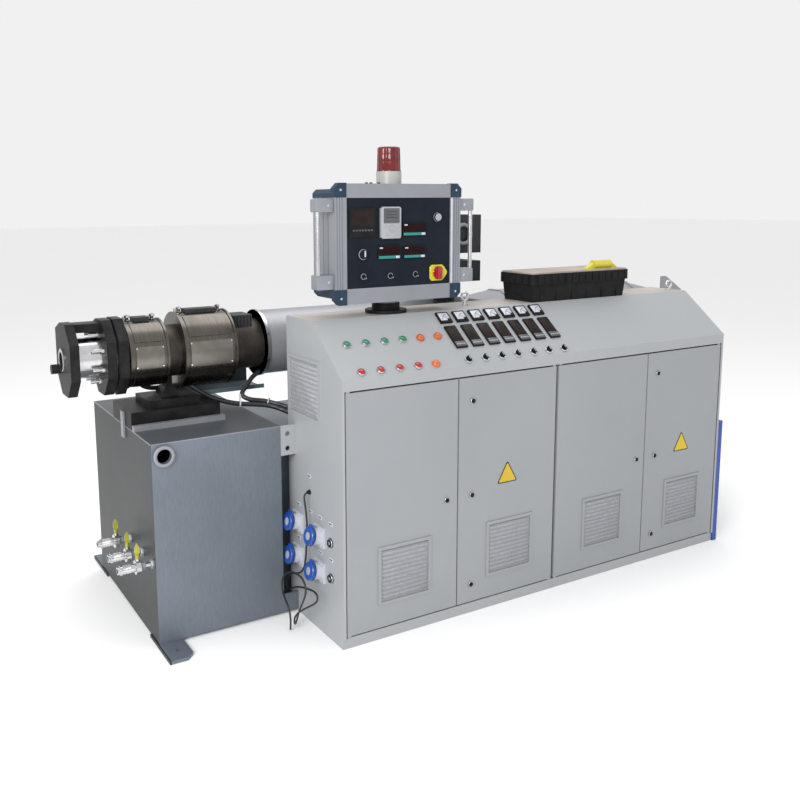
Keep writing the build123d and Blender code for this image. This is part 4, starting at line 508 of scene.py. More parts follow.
class Mouldings:
    """The machine's plastics, rubbers and lenses."""

    BLACK = Finish("moulded_black", (0.007, 0.007, 0.008), (0.014, 0.014, 0.015), "black_plastic", level=0.1,
                   gloss=(0.4, 0.55), cloud=30.0, grain=1500.0, depth=0.00008)
    SLATE = Finish("moulded_slate", (0.010, 0.026, 0.048), (0.016, 0.036, 0.062), "slate_plastic", level=0.25,
                   gloss=(0.4, 0.55), cloud=20.0, grain=1200.0, depth=0.00012)
    FOIL = Finish("panel_foil", (0.0085, 0.0115, 0.0175), (0.012, 0.016, 0.024), "panel_foil", level=0.06,
                  gloss=(0.4, 0.5), cloud=9.0, grain=2000.0, depth=0.00004)
    WHITE = Finish("moulded_white", (0.50, 0.51, 0.57), (0.45, 0.46, 0.52), "white_plastic",
                   gloss=(0.28, 0.4), cloud=14.0, grain=900.0, depth=0.00004, coat=0.2)
    GREY = Finish("moulded_grey", (0.33, 0.34, 0.36), (0.28, 0.29, 0.31), "white_plastic", gloss=(0.4, 0.5),
                  depth=0.00004)
    CREAM = Finish("moulded_cream", (0.36, 0.36, 0.34), (0.31, 0.31, 0.29), "white_plastic", gloss=(0.3, 0.4))
    BLUE = Finish("moulded_blue", (0.010, 0.070, 0.34), (0.008, 0.050, 0.26), "blue_plastic",
                  gloss=(0.22, 0.36), cloud=25.0, grain=900.0, depth=0.00004, coat=0.3)
    GREEN = Finish("button_green", (0.003, 0.170, 0.090), (0.002, 0.12, 0.062), "green_plastic",
                   gloss=(0.2, 0.3), coat=0.4)
    RED = Finish("button_red", (0.34, 0.004, 0.009), (0.25, 0.003, 0.006), "red_plastic", gloss=(0.2, 0.3),
                 coat=0.4)
    ORANGE = Finish("lamp_orange", (0.54, 0.105, 0.006), (0.42, 0.07, 0.004), "orange_plastic",
                    gloss=(0.18, 0.28), coat=0.5)
    YELLOW = Finish("switch_yellow", (0.56, 0.50, 0.018), (0.46, 0.40, 0.012), "yellow_plastic",
                    gloss=(0.25, 0.35), coat=0.3)
    SIGN = Finish("plate_yellow", (0.56, 0.39, 0.008), (0.47, 0.32, 0.008), "yellow_plastic",
                  gloss=(0.35, 0.45))
    INK = Finish("printed_black", (0.010, 0.010, 0.011), (0.018, 0.018, 0.019), "black_plastic",
                 gloss=(0.5, 0.6))
    SCREEN = Finish("dark_window", (0.014, 0.010, 0.009), (0.022, 0.016, 0.014), "black_plastic",
                    gloss=(0.25, 0.38), cloud=35.0, level=0.08)
    DISPLAY = Finish("red_window", (0.011, 0.004, 0.005), (0.018, 0.006, 0.007), "black_plastic",
                     gloss=(0.3, 0.42), cloud=35.0, level=0.05)
    READOUT = Finish("readout_grey", (0.050, 0.054, 0.058), (0.075, 0.080, 0.086), "black_plastic",
                     gloss=(0.3, 0.4))
    # Grey for the sheets behind the vents' slats: painted shade standing for the shaded blades.
    VENT_SHADE = Finish("vent_shade_grey", (0.42, 0.43, 0.46), (0.34, 0.35, 0.38), "cabinet_paint", gloss=(0.85, 0.95),
                 cloud=60.0, grain=1800.0, depth=0.0006, level=0.2)
    SHELL = Finish("keypad_silver", (0.34, 0.35, 0.37), (0.29, 0.30, 0.32), "white_plastic", gloss=(0.3, 0.4))
    TEAL = Finish("teal_band", (0.012, 0.20, 0.19), (0.010, 0.16, 0.15), "panel_foil", gloss=(0.3, 0.4))
    # The lid's light colours stand for dust and for a painted sheen on its top.
    LID = Finish("lid_dust_and_sheen", (0.24, 0.195, 0.175), (0.38, 0.32, 0.285), "lid_brown", gloss=(0.5, 0.75),
                 cloud=7.0, grain=120.0, depth=0.0002)
    LENS = RibbedLens("red_lens", (0.075, 0.001, 0.002), (0.16, 0.003, 0.004), "red_lens", gloss=(0.14, 0.24),
                      cloud=30.0)
    CORD = Lattice("cord_rubber", (0.008, 0.008, 0.009), (0.016, 0.016, 0.017), "cord_rubber",
                   gloss=(0.35, 0.5), grain=1200.0, depth=0.00008, pitch=420.0)
    HOSE = Lattice("conduit_black", (0.010, 0.010, 0.012), (0.020, 0.021, 0.024), "conduit_grey",
                   gloss=(0.3, 0.45), grain=700.0, depth=0.0005, pitch=70.0)


# Surfaces


@dataclass(frozen=True)
class Place:
    """Where a flat piece sits: its origin, its sideways direction and the direction that it faces."""

    origin: Point
    across: Point = (1.0, 0.0, 0.0)
    facing: Point = (0.0, -1.0, 0.0)

    def axes(self) -> np.ndarray:
        """Rows across, up and out, where up is out crossed with across."""
        across, out = np.array(self.across), np.array(self.facing)
        return np.stack([across, np.cross(out, across), out])

    def carry(self, points: np.ndarray) -> np.ndarray:
        """Origin plus each local number times its direction."""
        return np.array(self.origin) + points @ self.axes()

    def moved(self, across: float = 0.0, up: float = 0.0, out: float = 0.0) -> "Place":
        """The same directions from an origin moved along them, in millimetres."""
        origin = self.carry(np.array([across, up, out]) * MM)
        return Place(tuple(origin.tolist()), self.across, self.facing)


def on_end(x: float, y: float, z: float) -> Place:
    """A place in the cabinet's millimetres that faces left."""
    return Place(cabinet(x, y, z), (0.0, -1.0, 0.0), (-1.0, 0.0, 0.0))


def on_top(x: float, y: float, z: float) -> Place:
    """A place in the cabinet's millimetres that faces up."""
    return Place(cabinet(x, y, z), (1.0, 0.0, 0.0), (0.0, 0.0, 1.0))


def on_front(x: float, y: float, z: float) -> Place:
    """A place in the cabinet's millimetres that faces the front."""
    return Place(cabinet(x, y, z))


@dataclass(frozen=True)
class Shape:
    """A closed surface: an array of points, and faces that list them."""

    points: np.ndarray
    faces: tuple[tuple[int, ...], ...]

    @staticmethod
    def rings(grid: np.ndarray, around: bool = False) -> "Shape":
        """Join rings of points: ring j and ring j + 1 share quads, and both ends are capped unless they meet.

        Args:
            grid: Rings, points in a ring, and their three coordinates.
            around: Whether the last ring joins the first.

        Returns:
            The closed surface.
        """
        count, size = grid.shape[:2]
        index = np.arange(count * size).reshape(count, size)
        low = index if around else index[:-1]
        high = np.roll(index, -1, axis=0) if around else index[1:]
        quads = np.stack([low, np.roll(low, -1, axis=1), np.roll(high, -1, axis=1), high], axis=-1)
        faces = [tuple(quad) for quad in quads.reshape(-1, 4).tolist()]
        if not around:
            faces += [tuple(index[0][::-1].tolist()), tuple(index[-1].tolist())]
        return Shape(grid.reshape(-1, 3), tuple(faces))

    @staticmethod
    def joined(shapes: Iterable["Shape"]) -> "Shape":
        """Put several surfaces into one, their point numbers moved on.

        Args:
            shapes: The surfaces.

        Returns:
            The one surface.
        """
        points, faces, start = [], [], 0
        for shape in shapes:
            points.append(shape.points)
            faces += [tuple(number + start for number in face) for face in shape.faces]
            start += len(shape.points)
        return Shape(np.concatenate(points), tuple(faces))

    def at(self, place: Place) -> "Shape":
        """The same surface carried to a place."""
        return Shape(place.carry(self.points), self.faces)

    def piece(self, name: str, finish: Finish, body: Body, smooth: float = 35.0) -> bpy.types.Object:
        """Make the surface an object of the scene that rides on a body.

        Args:
            name: The piece's name.
            finish: What it is finished in.
            body: What it rides on.
            smooth: Edges flatter than this angle, in degrees, are shaded smooth.

        Returns:
            The object.
        """
        mesh = bpy.data.meshes.new(name)
        mesh.from_pydata(self.points.tolist(), [], self.faces)
        mesh.validate()
        mesh.materials.append(finish.build())
        mesh.shade_smooth()
        mesh.set_sharp_from_angle(angle=math.radians(smooth))
        thing = bpy.data.objects.new(name, mesh)
        bpy.context.scene.collection.objects.link(thing)
        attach(thing, body.value)
        LOG.info("%s: %d faces on %s", name, len(self.faces), body.value)
        return thing


def rounded(width: float, height: float, radius: float, steps: int = 4) -> np.ndarray:
    """Outline a rectangle with round corners: a quarter circle about each corner's centre, in millimetres.

    Args:
        width: Its size across.
        height: Its size upwards.
        radius: Of the corners.
        steps: Chords in each corner.

    Returns:
        Points of the outline in metres, counter-clockwise.
    """
    turn = np.linspace(0.0, math.pi / 2, steps + 1)[None, :] + np.arange(4)[:, None] * math.pi / 2
    signs = np.array([(1, 1), (-1, 1), (-1, -1), (1, -1)])
    centres = signs * (np.array([width, height]) / 2 - radius)
    points = centres[:, None, :] + radius * np.stack([np.cos(turn), np.sin(turn)], axis=-1)
    return points.reshape(-1, 2) * MM


def circle(radius: float, steps: int = 32) -> np.ndarray:
    """Outline a circle: radius times the cosine and sine of even angles, in millimetres, given in metres."""
    turn = np.arange(steps) * 2 * math.pi / steps
    return radius * MM * np.stack([np.cos(turn), np.sin(turn)], axis=-1)


def plate(outline: np.ndarray, rows: Sequence[tuple[float, float]]) -> Shape:
    """Raise an outline in rows: in each one it is moved inwards along its corners' bisectors and lifted.

    Args:
        outline: Points in metres, counter-clockwise.
        rows: For each row the distance inwards and the height, in millimetres, from the foot to the face.

    Returns:
        The closed plate, facing out.
    """
    ahead = np.roll(outline, -1, axis=0) - outline
    normal = np.stack([-ahead[:, 1], ahead[:, 0]], axis=1) / np.linalg.norm(ahead, axis=1, keepdims=True)
    before = np.roll(normal, 1, axis=0)
    bisector = (normal + before) / (1.0 + (normal * before).sum(axis=1, keepdims=True))
    sizes = np.array(rows) * MM
    flat = outline[None] + sizes[:, 0, None, None] * bisector[None]
    lift = np.broadcast_to(sizes[:, 1, None, None], (*flat.shape[:2], 1))
    return Shape.rings(np.concatenate([flat, lift], axis=-1))


def softened(proud: float, edge: float) -> tuple[tuple[float, float], ...]:
    """Rows for a plate that stands proud: straight walls from a sunk foot, then two steps round the edge."""
    return (0.0, -SUNK), (0.0, proud - edge), (edge / 3, proud - edge / 3), (edge, proud)


def key(width: float, height: float, proud: float, radius: float = 2.0, edge: float = 0.8) -> Shape:
    """A rectangular key or cover with a softened front edge, its foot a little under the surface."""
    return plate(rounded(width, height, radius), softened(proud, edge))


def disc(radius: float, proud: float, edge: float = 0.8, steps: int = 32) -> Shape:
    """A round key or cover with a softened front edge, its foot a little under the surface."""
    return plate(circle(radius, steps), softened(proud, edge))


def turned(rows: Sequence[tuple[float, float]], steps: int = 40, flutes: int = 0, cut: float = 0.0) -> Shape:
    """Turn a profile about the way out: radius times the cosine and sine, fluted by a cosine of the angle.

    Args:
        rows: For each row its radius and its height, in millimetres.
        steps: Points round it.
        flutes: How many flutes run up it.
        cut: How deep the flutes are, as a share of the radius.

    Returns:
        The closed turned surface.
    """
    turn = np.arange(steps) * 2 * math.pi / steps
    sizes = np.array(rows) * MM
    radii = sizes[:, 0, None] * (1.0 + cut * np.cos(flutes * turn)[None])
    heights = np.broadcast_to(sizes[:, 1, None], radii.shape)
    return Shape.rings(np.stack([radii * np.cos(turn), radii * np.sin(turn), heights], axis=-1))


def hoop(rows: Sequence[tuple[float, float]], steps: int = 56) -> Shape:
    """Turn a closed profile about the way out: radius times the cosine and sine, the profile going round.

    Args:
        rows: Radius and height of each corner, in millimetres, up along the bore and down outside.
        steps: Points round the hoop.

    Returns:
        The closed hoop, its bore open.
    """
    turn = np.arange(steps)[:, None] * 2 * math.pi / steps
    sizes = np.array(rows) * MM
    radius, height = sizes[None, :, 0], sizes[None, :, 1]
    points = np.stack([radius * np.cos(turn), radius * np.sin(turn), height + 0.0 * turn], axis=-1)
    return Shape.rings(points, around=True)


def curved(radius: float, thick: float, angles: tuple[float, float], spans: tuple[float, float]) -> Shape:
    """Bend a sheet about the way out: a rectangle carried round between two angles.

    Args:
        radius: Of its inner face, in millimetres.
        thick: Of the sheet.
        angles: From which to which angle it goes, in degrees.
        spans: From which to which height it goes.

    Returns:
        The closed sheet.
    """
    turn = np.radians(np.linspace(*angles, 17))[:, None]
    reach = np.array((radius, radius, radius + thick, radius + thick)) * MM
    height = np.array((spans[0], spans[1], spans[1], spans[0])) * MM
    return Shape.rings(np.stack([reach * np.cos(turn), reach * np.sin(turn), height + 0.0 * turn], axis=-1))


def ring(radius: float, bar: float, steps: int = 40, sides: int = 12, flatten: float = 1.0) -> Shape:
    """A ring bent from round bar about the way out: the torus formula.

    Args:
        radius: Of the ring's middle line, in millimetres.
        bar: Radius of the bar.
        steps: Points round the ring.
        sides: Points round the bar.
        flatten: Share of the bar's height that is left.

    Returns:
        The closed ring.
    """
    turn = np.arange(steps)[:, None] * 2 * math.pi / steps
    side = np.arange(sides)[None, :] * 2 * math.pi / sides
    reach = radius + bar * np.cos(side)
    points = np.stack([reach * np.cos(turn), reach * np.sin(turn),
                       flatten * bar * np.sin(side) + 0.0 * turn], axis=-1)
    return Shape.rings(points[:, ::-1] * MM, around=True)


def rod(start: Point, end: Point, radius: float, edge: float = 0.5, steps: int = 16) -> Shape:
    """A round bar between two places, turned with softened ends about the line between them.

    Args:
        start: Where it starts, in metres.
        end: Where it ends, in metres.
        radius: Of the bar, in millimetres.
        edge: How far its ends are softened.
        steps: Points round it.

    Returns:
        The closed bar.
    """
    line = Vector(end) - Vector(start)
    out = line.normalized()
    across = out.orthogonal().normalized()
    length = line.length / MM
    rows = ((radius - edge, 0.0), (radius, edge), (radius, length - edge), (radius - edge, length))
    return turned(rows, steps).at(Place(tuple(start), tuple(across), tuple(out)))


# Sub-assemblies


@dataclass
class Dresser:
    """What every sub-assembly shares: the frame's nodes and how to finish them."""

    frame: dict[str, Any]

    def coat(self, finish: Finish, *nodes: str) -> None:
        """Give CAD nodes a finish.

        Args:
            finish: What they are finished in.
            nodes: Their names.
        """
        for name in nodes:
            mesh = self.frame["nodes"][name].data
            mesh.materials.clear()
            mesh.materials.append(finish.build())
            LOG.info("%s: %s", name, finish.name)

    def put(self, name: str, finish: Finish, shapes: Iterable[Shape],
            body: Body = Body.MACHINE) -> bpy.types.Object:
        """Make several surfaces one piece.

        Args:
            name: The piece's name.
            finish: What it is finished in.
            shapes: Its surfaces.
            body: What it rides on.

        Returns:
            The object.
        """
        return Shape.joined(shapes).piece(name, finish, body)


@dataclass
class Cabinet(Dresser):
    """The long cabinet: its panels, doors, warning plates, locks, sockets and plain labels."""

    door_front: float = 2.0
    sign_side: float = 96.0
    signs: tuple[tuple[Body, float, float], ...] = ((Body.DOOR_2, 697.0, 500.0), (Body.DOOR_4, 1643.0, 478.0))
    label: tuple[float, float] = (30.0, 13.0)
    label_rows: tuple[tuple[float, tuple[float, ...]], ...] = (
        (420.0, (329.0, 236.0, 163.0, 86.0)), (292.0, (329.0, 163.0, 86.0)), (547.0, (242.0,)))
    socket_tilt: float = 12.0
    vent: tuple[float, float, float] = (204.0, 195.0, 230.5)
    vent_shifts: tuple[float, ...] = (4.0, 13.0, 13.0, 15.0)
    side_vent: tuple[float, float, float, float] = (219.0, 201.0, 267.5, 858.5)
    shade_sheet_proud: float = 3.9
    socket_columns: tuple[float, ...] = (163.0, 329.0)
    socket_rows: tuple[float, ...] = (226.0, 353.0)
    socket_stand: float = 8.0
    flange_screw: float = 29.0

    def build(self) -> None:
        """Dress the cabinet."""
        self.coat(Paints.CABINET, "side_panels", "cabinet_floor", "console_panel")
        self.coat(Paints.TOP, "back_and_top")
        self.coat(Paints.DOOR, *["door_%d" % number for number in range(1, 5)])
        self.coat(Paints.FRAME, "front_frame")
        self.coat(Paints.STRIP, "end_strip")
        self.coat(Paints.BRIGHT, "door_pivots", "eye_bolts")
        self.coat(Mouldings.BLACK, *["door_%d_locks" % number for number in range(1, 5)], "cord_gland")
        self.warning_plates()
        self.lock_faces()
        self.vent_shade_sheets()
        self.sockets()
        self.labels()

    def triangle(self, side: float, radius: float) -> np.ndarray:
        """Outline a triangle with round corners: an arc of a third of a turn about each corner's centre.

        Args:
            side: Of the triangle if its corners were sharp, in millimetres.
            radius: Of the corners.

        Returns:
            Points of the outline in metres, counter-clockwise.
        """
        inner = side / math.sqrt(3) - 2 * radius
        middle = math.radians(90) + np.arange(3) * 2 * math.pi / 3
        centres = inner * np.stack([np.cos(middle), np.sin(middle)], axis=-1)
        turn = middle[:, None] + np.linspace(-math.pi / 3, math.pi / 3, 5)[None]
        points = centres[:, None] + radius * np.stack([np.cos(turn), np.sin(turn)], axis=-1)
        return points.reshape(-1, 2) * MM

    def warning_plates(self) -> None:
        """A black-edged yellow triangle on two doors."""
        for body, x, z in self.signs:
            place = on_front(x, self.door_front, z)
            border = plate(self.triangle(self.sign_side, 5.0), ((0.0, -0.2), (0.0, 0.7), (0.3, 1.0)))
            field = plate(self.triangle(self.sign_side - 14.0, 3.0), ((0.0, 0.5), (0.0, 1.2), (0.2, 1.4)))
            border.at(place).piece(body.value + "_sign_border", Mouldings.INK, body)
            field.at(place).piece(body.value + "_sign_field", Mouldings.SIGN, body)

    def lock_faces(self) -> None:
        """A bright collar round the head of every lock."""
        for number, body in enumerate(DOORS, start=1):
            low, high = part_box("door_%d_locks" % number)
            collars = [ring(9.4, 1.6).at(Place(((low.x + high.x) / 2, low.y + 2.0 * MM, z)))
                       for z in self.lock_heights(number)]
            self.put("door_%d_lock_collars" % number, Paints.BRIGHT, collars, body)

    def vent_shade_sheets(self) -> None:
        """A grey sheet behind the slats of every vent: painted shade standing for the shaded blades seen
        between the slats.
        """
        width, height, middle = self.vent
        for number, body in enumerate(DOORS, start=1):
            low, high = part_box("door_%d" % number)
            x = (low.x + high.x) / 2 + self.vent_shifts[number - 1] * MM
            place = Place((x, *cabinet(0.0, 8.0, middle)[1:]))
            # The sheet is painted shade, closing the slot behind the slats.
            shade_sheet = key(width, height, self.shade_sheet_proud, 2.0, 0.5).at(place)
            shade_sheet.piece("door_%d_vent_mat" % number, Mouldings.VENT_SHADE, body)
        width, height, y, z = self.side_vent
        shade_sheet = key(width, height, self.shade_sheet_proud, 2.0, 0.5).at(on_end(6.0, y, z))
        shade_sheet.piece("side_vent_shade", Mouldings.VENT_SHADE, Body.MACHINE)

    def lock_heights(self, number: int) -> Iterable[float]:
        """Heights of a door's locks, from the points of their front faces.

        Args:
            number: The door's number.

        Returns:
            The middle height of each lock's head.
        """
        mesh = self.frame["nodes"]["door_%d_locks" % number].data
        points = np.empty(len(mesh.vertices) * 3, np.float32)
        mesh.vertices.foreach_get("co", points)
        points = points.reshape(-1, 3)
        heights = np.sort(points[points[:, 1] < points[:, 1].min() + MM / 2][:, 2])
        groups = np.split(heights, np.where(np.diff(heights) > 0.05)[0] + 1)
        return [float(group.min() + group.max()) / 2 for group in groups]

    def sockets(self) -> None:
        """Flange screws, a cream inlay in every cap and a seal behind it."""
        self.coat(Mouldings.WHITE, "socket_bodies")
        self.coat(Mouldings.BLUE, "socket_caps")
        lean = math.radians(self.socket_tilt)
        inlays, seals, screws = [], [], []
        screw, reach = disc(3.4, 1.6, steps=12), (-self.flange_screw, self.flange_screw)
        for y in self.socket_columns:
            for z in self.socket_rows:
                wall = on_end(-self.socket_stand, y, z)
                facing = Place(wall.origin, (0.0, -1.0, 0.0), (-math.cos(lean), 0.0, math.sin(lean)))
                inlays.append(turned(((14.0, 41.0), (14.0, 42.4), (12.6, 42.9), (5.0, 43.2)), 32).at(facing))
                seals.append(ring(31.5, 2.2, flatten=0.8).at(facing.moved(out=28.5)))
                screws += [screw.at(wall.moved(across, up)) for up in reach for across in reach]
        self.put("socket_inlays", Mouldings.GREY, inlays)
        self.put("socket_seals", Mouldings.BLACK, seals)
        self.put("socket_screws", Mouldings.GREY, screws)

    def labels(self) -> None:
        """Plain pale plates with one dark bar, above the sockets, the cord and the rotary knobs."""
        plates, bars = [], []
        for place in (on_end(0.0, y, z) for z, columns in self.label_rows for y in columns):
            plates.append(key(*self.label, 0.8, 1.0, 0.3).at(place))
            bars.append(key(self.label[0] * 0.66, 4.0, 1.1, 0.5, 0.2).at(place))
        self.put("end_labels", Mouldings.WHITE, plates)
        self.put("end_label_bars", Mouldings.INK, bars)


@dataclass
class Console(Dresser):
    """The sloped console with its meters, controllers, buttons, lamps and selectors."""

    rise: float = 170.0
    run: float = 212.0
    lip: float = 930.0
    count: int = 7
    first_meter: float = 530.0
    meter_pitch: float = 74.0
    first_selector: float = 522.0
    selector_pitch: float = 75.0
    first_button: float = 82.0
    button_pitch: float = 75.0
    lower_row: float = 22.0
    upper_row: float = 146.0
    meter_drop: float = 42.0
    meter_proud: float = 8.0
    controller_drop: float = 138.0
    controller_proud: float = 7.0
    side_knob_y: float = 86.0
    side_knobs: tuple[float, ...] = (226.0, 353.0)

    def spot(self, x: float, s: float, out: float = 0.0) -> Place:
        """A place on the slope, in millimetres.

        Args:
            x: Along the cabinet.
            s: Up the slope from the lip.
            out: Off the slope.

        Returns:
            The place, facing as the slope does.
        """
        angle = math.atan2(self.rise, self.run)
        origin = cabinet(x, s * math.cos(angle), self.lip + s * math.sin(angle))
        return Place(origin, (1.0, 0.0, 0.0), (0.0, -math.sin(angle), math.cos(angle))).moved(out=out)

    def row(self, first: float, pitch: float, s: float, out: float = 0.0) -> list[Place]:
        """As many even places along the slope as the console has meters."""
        return [self.spot(first + index * pitch, s, out) for index in range(self.count)]

    def build(self) -> None:
        """Dress the console."""
        self.coat(Mouldings.BLACK, "panel_meters", "temperature_controllers", "rotary_knobs")
        self.coat(Paints.BRIGHT, "button_bezels")
        self.coat(Mouldings.GREEN, "green_buttons")
        self.coat(Mouldings.RED, "red_buttons")
        self.coat(Mouldings.ORANGE, "orange_lamps")
        self.meters()
        self.controllers()
        self.caps()
        self.pointers()

    def meters(self) -> None:
        """A white face in a black rim, with a quarter scale, its needle and a dark corner hub."""
        slope = math.hypot(self.rise, self.run)
        faces, scales, hubs = [], [], []
        angles = np.linspace(math.radians(95), math.radians(175), 12)
        arc = np.concatenate([np.stack([np.cos(angles), np.sin(angles)], -1) * 29.0,
                              np.stack([np.cos(angles), np.sin(angles)], -1)[::-1] * 27.4]) * MM
        needle = np.array([(-1.0, 0.0), (1.0, 0.0), (-19.0, 21.0), (-19.8, 20.3)]) * MM
        for place in self.row(self.first_meter, self.meter_pitch, slope - self.meter_drop, self.meter_proud):
            faces.append(key(41.0, 41.0, 0.8, 2.5, 0.3).at(place))
            corner = place.moved(16.0, -16.0)
            scales.append(plate(arc, ((0.0, 0.6), (0.0, 1.1), (0.1, 1.2))).at(corner))
            scales.append(plate(needle, ((0.0, 0.6), (0.0, 1.3), (0.1, 1.4))).at(corner))
            hubs.append(disc(7.5, 1.6, 0.4, 20).at(corner.moved(-1.0, 1.0)))
            hubs.append(key(41.0, 4.0, 1.2, 0.8, 0.3).at(place.moved(up=-18.5)))
        self.put("meter_faces", Mouldings.WHITE, faces)
        self.put("meter_scales", Mouldings.INK, scales)
        self.put("meter_hubs", Mouldings.BLACK, hubs)

    def controllers(self) -> None:
        """A dark brown window above a grey strip of keys on every temperature controller."""
        slope = math.hypot(self.rise, self.run)
        windows, strips, keys = [], [], []
        up = slope - self.controller_drop
        for place in self.row(self.first_meter, self.meter_pitch, up, self.controller_proud):
            windows.append(key(43.0, 72.0, 0.8, 1.5, 0.4).at(place.moved(up=14.0)))
            strips.append(key(43.0, 24.0, 0.9, 1.5, 0.4).at(place.moved(up=-37.0)))
            keys += [key(7.5, 5.0, 2.2, 1.2, 0.5).at(place.moved(across, -38.0))
                     for across in (-15.0, -5.0, 5.0, 15.0)]
        self.put("controller_windows", Mouldings.SCREEN, windows)
        self.put("controller_strips", Mouldings.READOUT, strips)
        self.put("controller_keys", Mouldings.GREY, keys)

    def caps(self) -> None:
        """Domed caps in bright collars for the buttons, orange lamps, and collars for the selectors."""
        domes = {"G": [], "R": [], "O": []}
        collar = hoop(((12.4, 0.2), (12.4, 8.4), (12.9, 9.0), (13.6, 8.4), (14.9, 1.0), (14.9, 0.2)), 40)
        foot = hoop(((11.4, 0.2), (11.4, 6.4), (12.4, 7.0), (13.4, 6.4), (14.9, 1.0), (14.9, 0.2)), 40)
        cap = turned(((12.2, 1.0), (12.2, 10.0), (11.4, 11.4), (8.0, 12.4), (2.5, 12.8)), 36)
        lamp = turned(((14.8, 0.2), (14.2, 8.0), (13.4, 9.6), (10.0, 11.6), (3.0, 12.6)), 36)
        collars = []
        for kinds, s in (("GGGGOO", self.upper_row), ("RRRRO", self.lower_row)):
            for index, kind in enumerate(kinds):
                place = self.spot(self.first_button + index * self.button_pitch, s)
                domes[kind].append((lamp if kind == "O" else cap).at(place))
                if kind != "O":
                    collars.append(collar.at(place))
        collars += [foot.at(place)
                    for place in self.row(self.first_selector, self.selector_pitch, self.lower_row)]
        for kind, name, finish, node in (("G", "green_caps", Mouldings.GREEN, "green_buttons"),
                                         ("R", "red_caps", Mouldings.RED, "red_buttons"),
                                         ("O", "orange_caps", Mouldings.ORANGE, "orange_lamps")):
            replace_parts(Shape.joined(domes[kind]).piece(name, finish, Body.MACHINE), node)
        self.put("bezel_collars", Paints.BRIGHT, collars)

    def pointers(self) -> None:
        """A white line along every selector's grip, and rimmed discs on the left end's rotary knobs."""
        lines = [key(1.6, 15.0, 0.7, 0.6, 0.3).at(place.moved(up=2.0))
                 for place in self.row(self.first_selector, self.selector_pitch, self.lower_row, 16.0)]
        rims = []
        for z in self.side_knobs:
            place = on_end(0.0, self.side_knob_y, z)
            cap = turned(((7.0, 8.0), (7.0, 9.8), (5.6, 10.6), (1.5, 10.9)), 24)
            rims += [ring(14.2, 2.0).at(place.moved(out=3.6)), cap.at(place.moved(2.0, 2.0))]
        self.put("selector_lines", Mouldings.WHITE, lines)
        self.put("side_knob_rims", Paints.BRIGHT, rims)


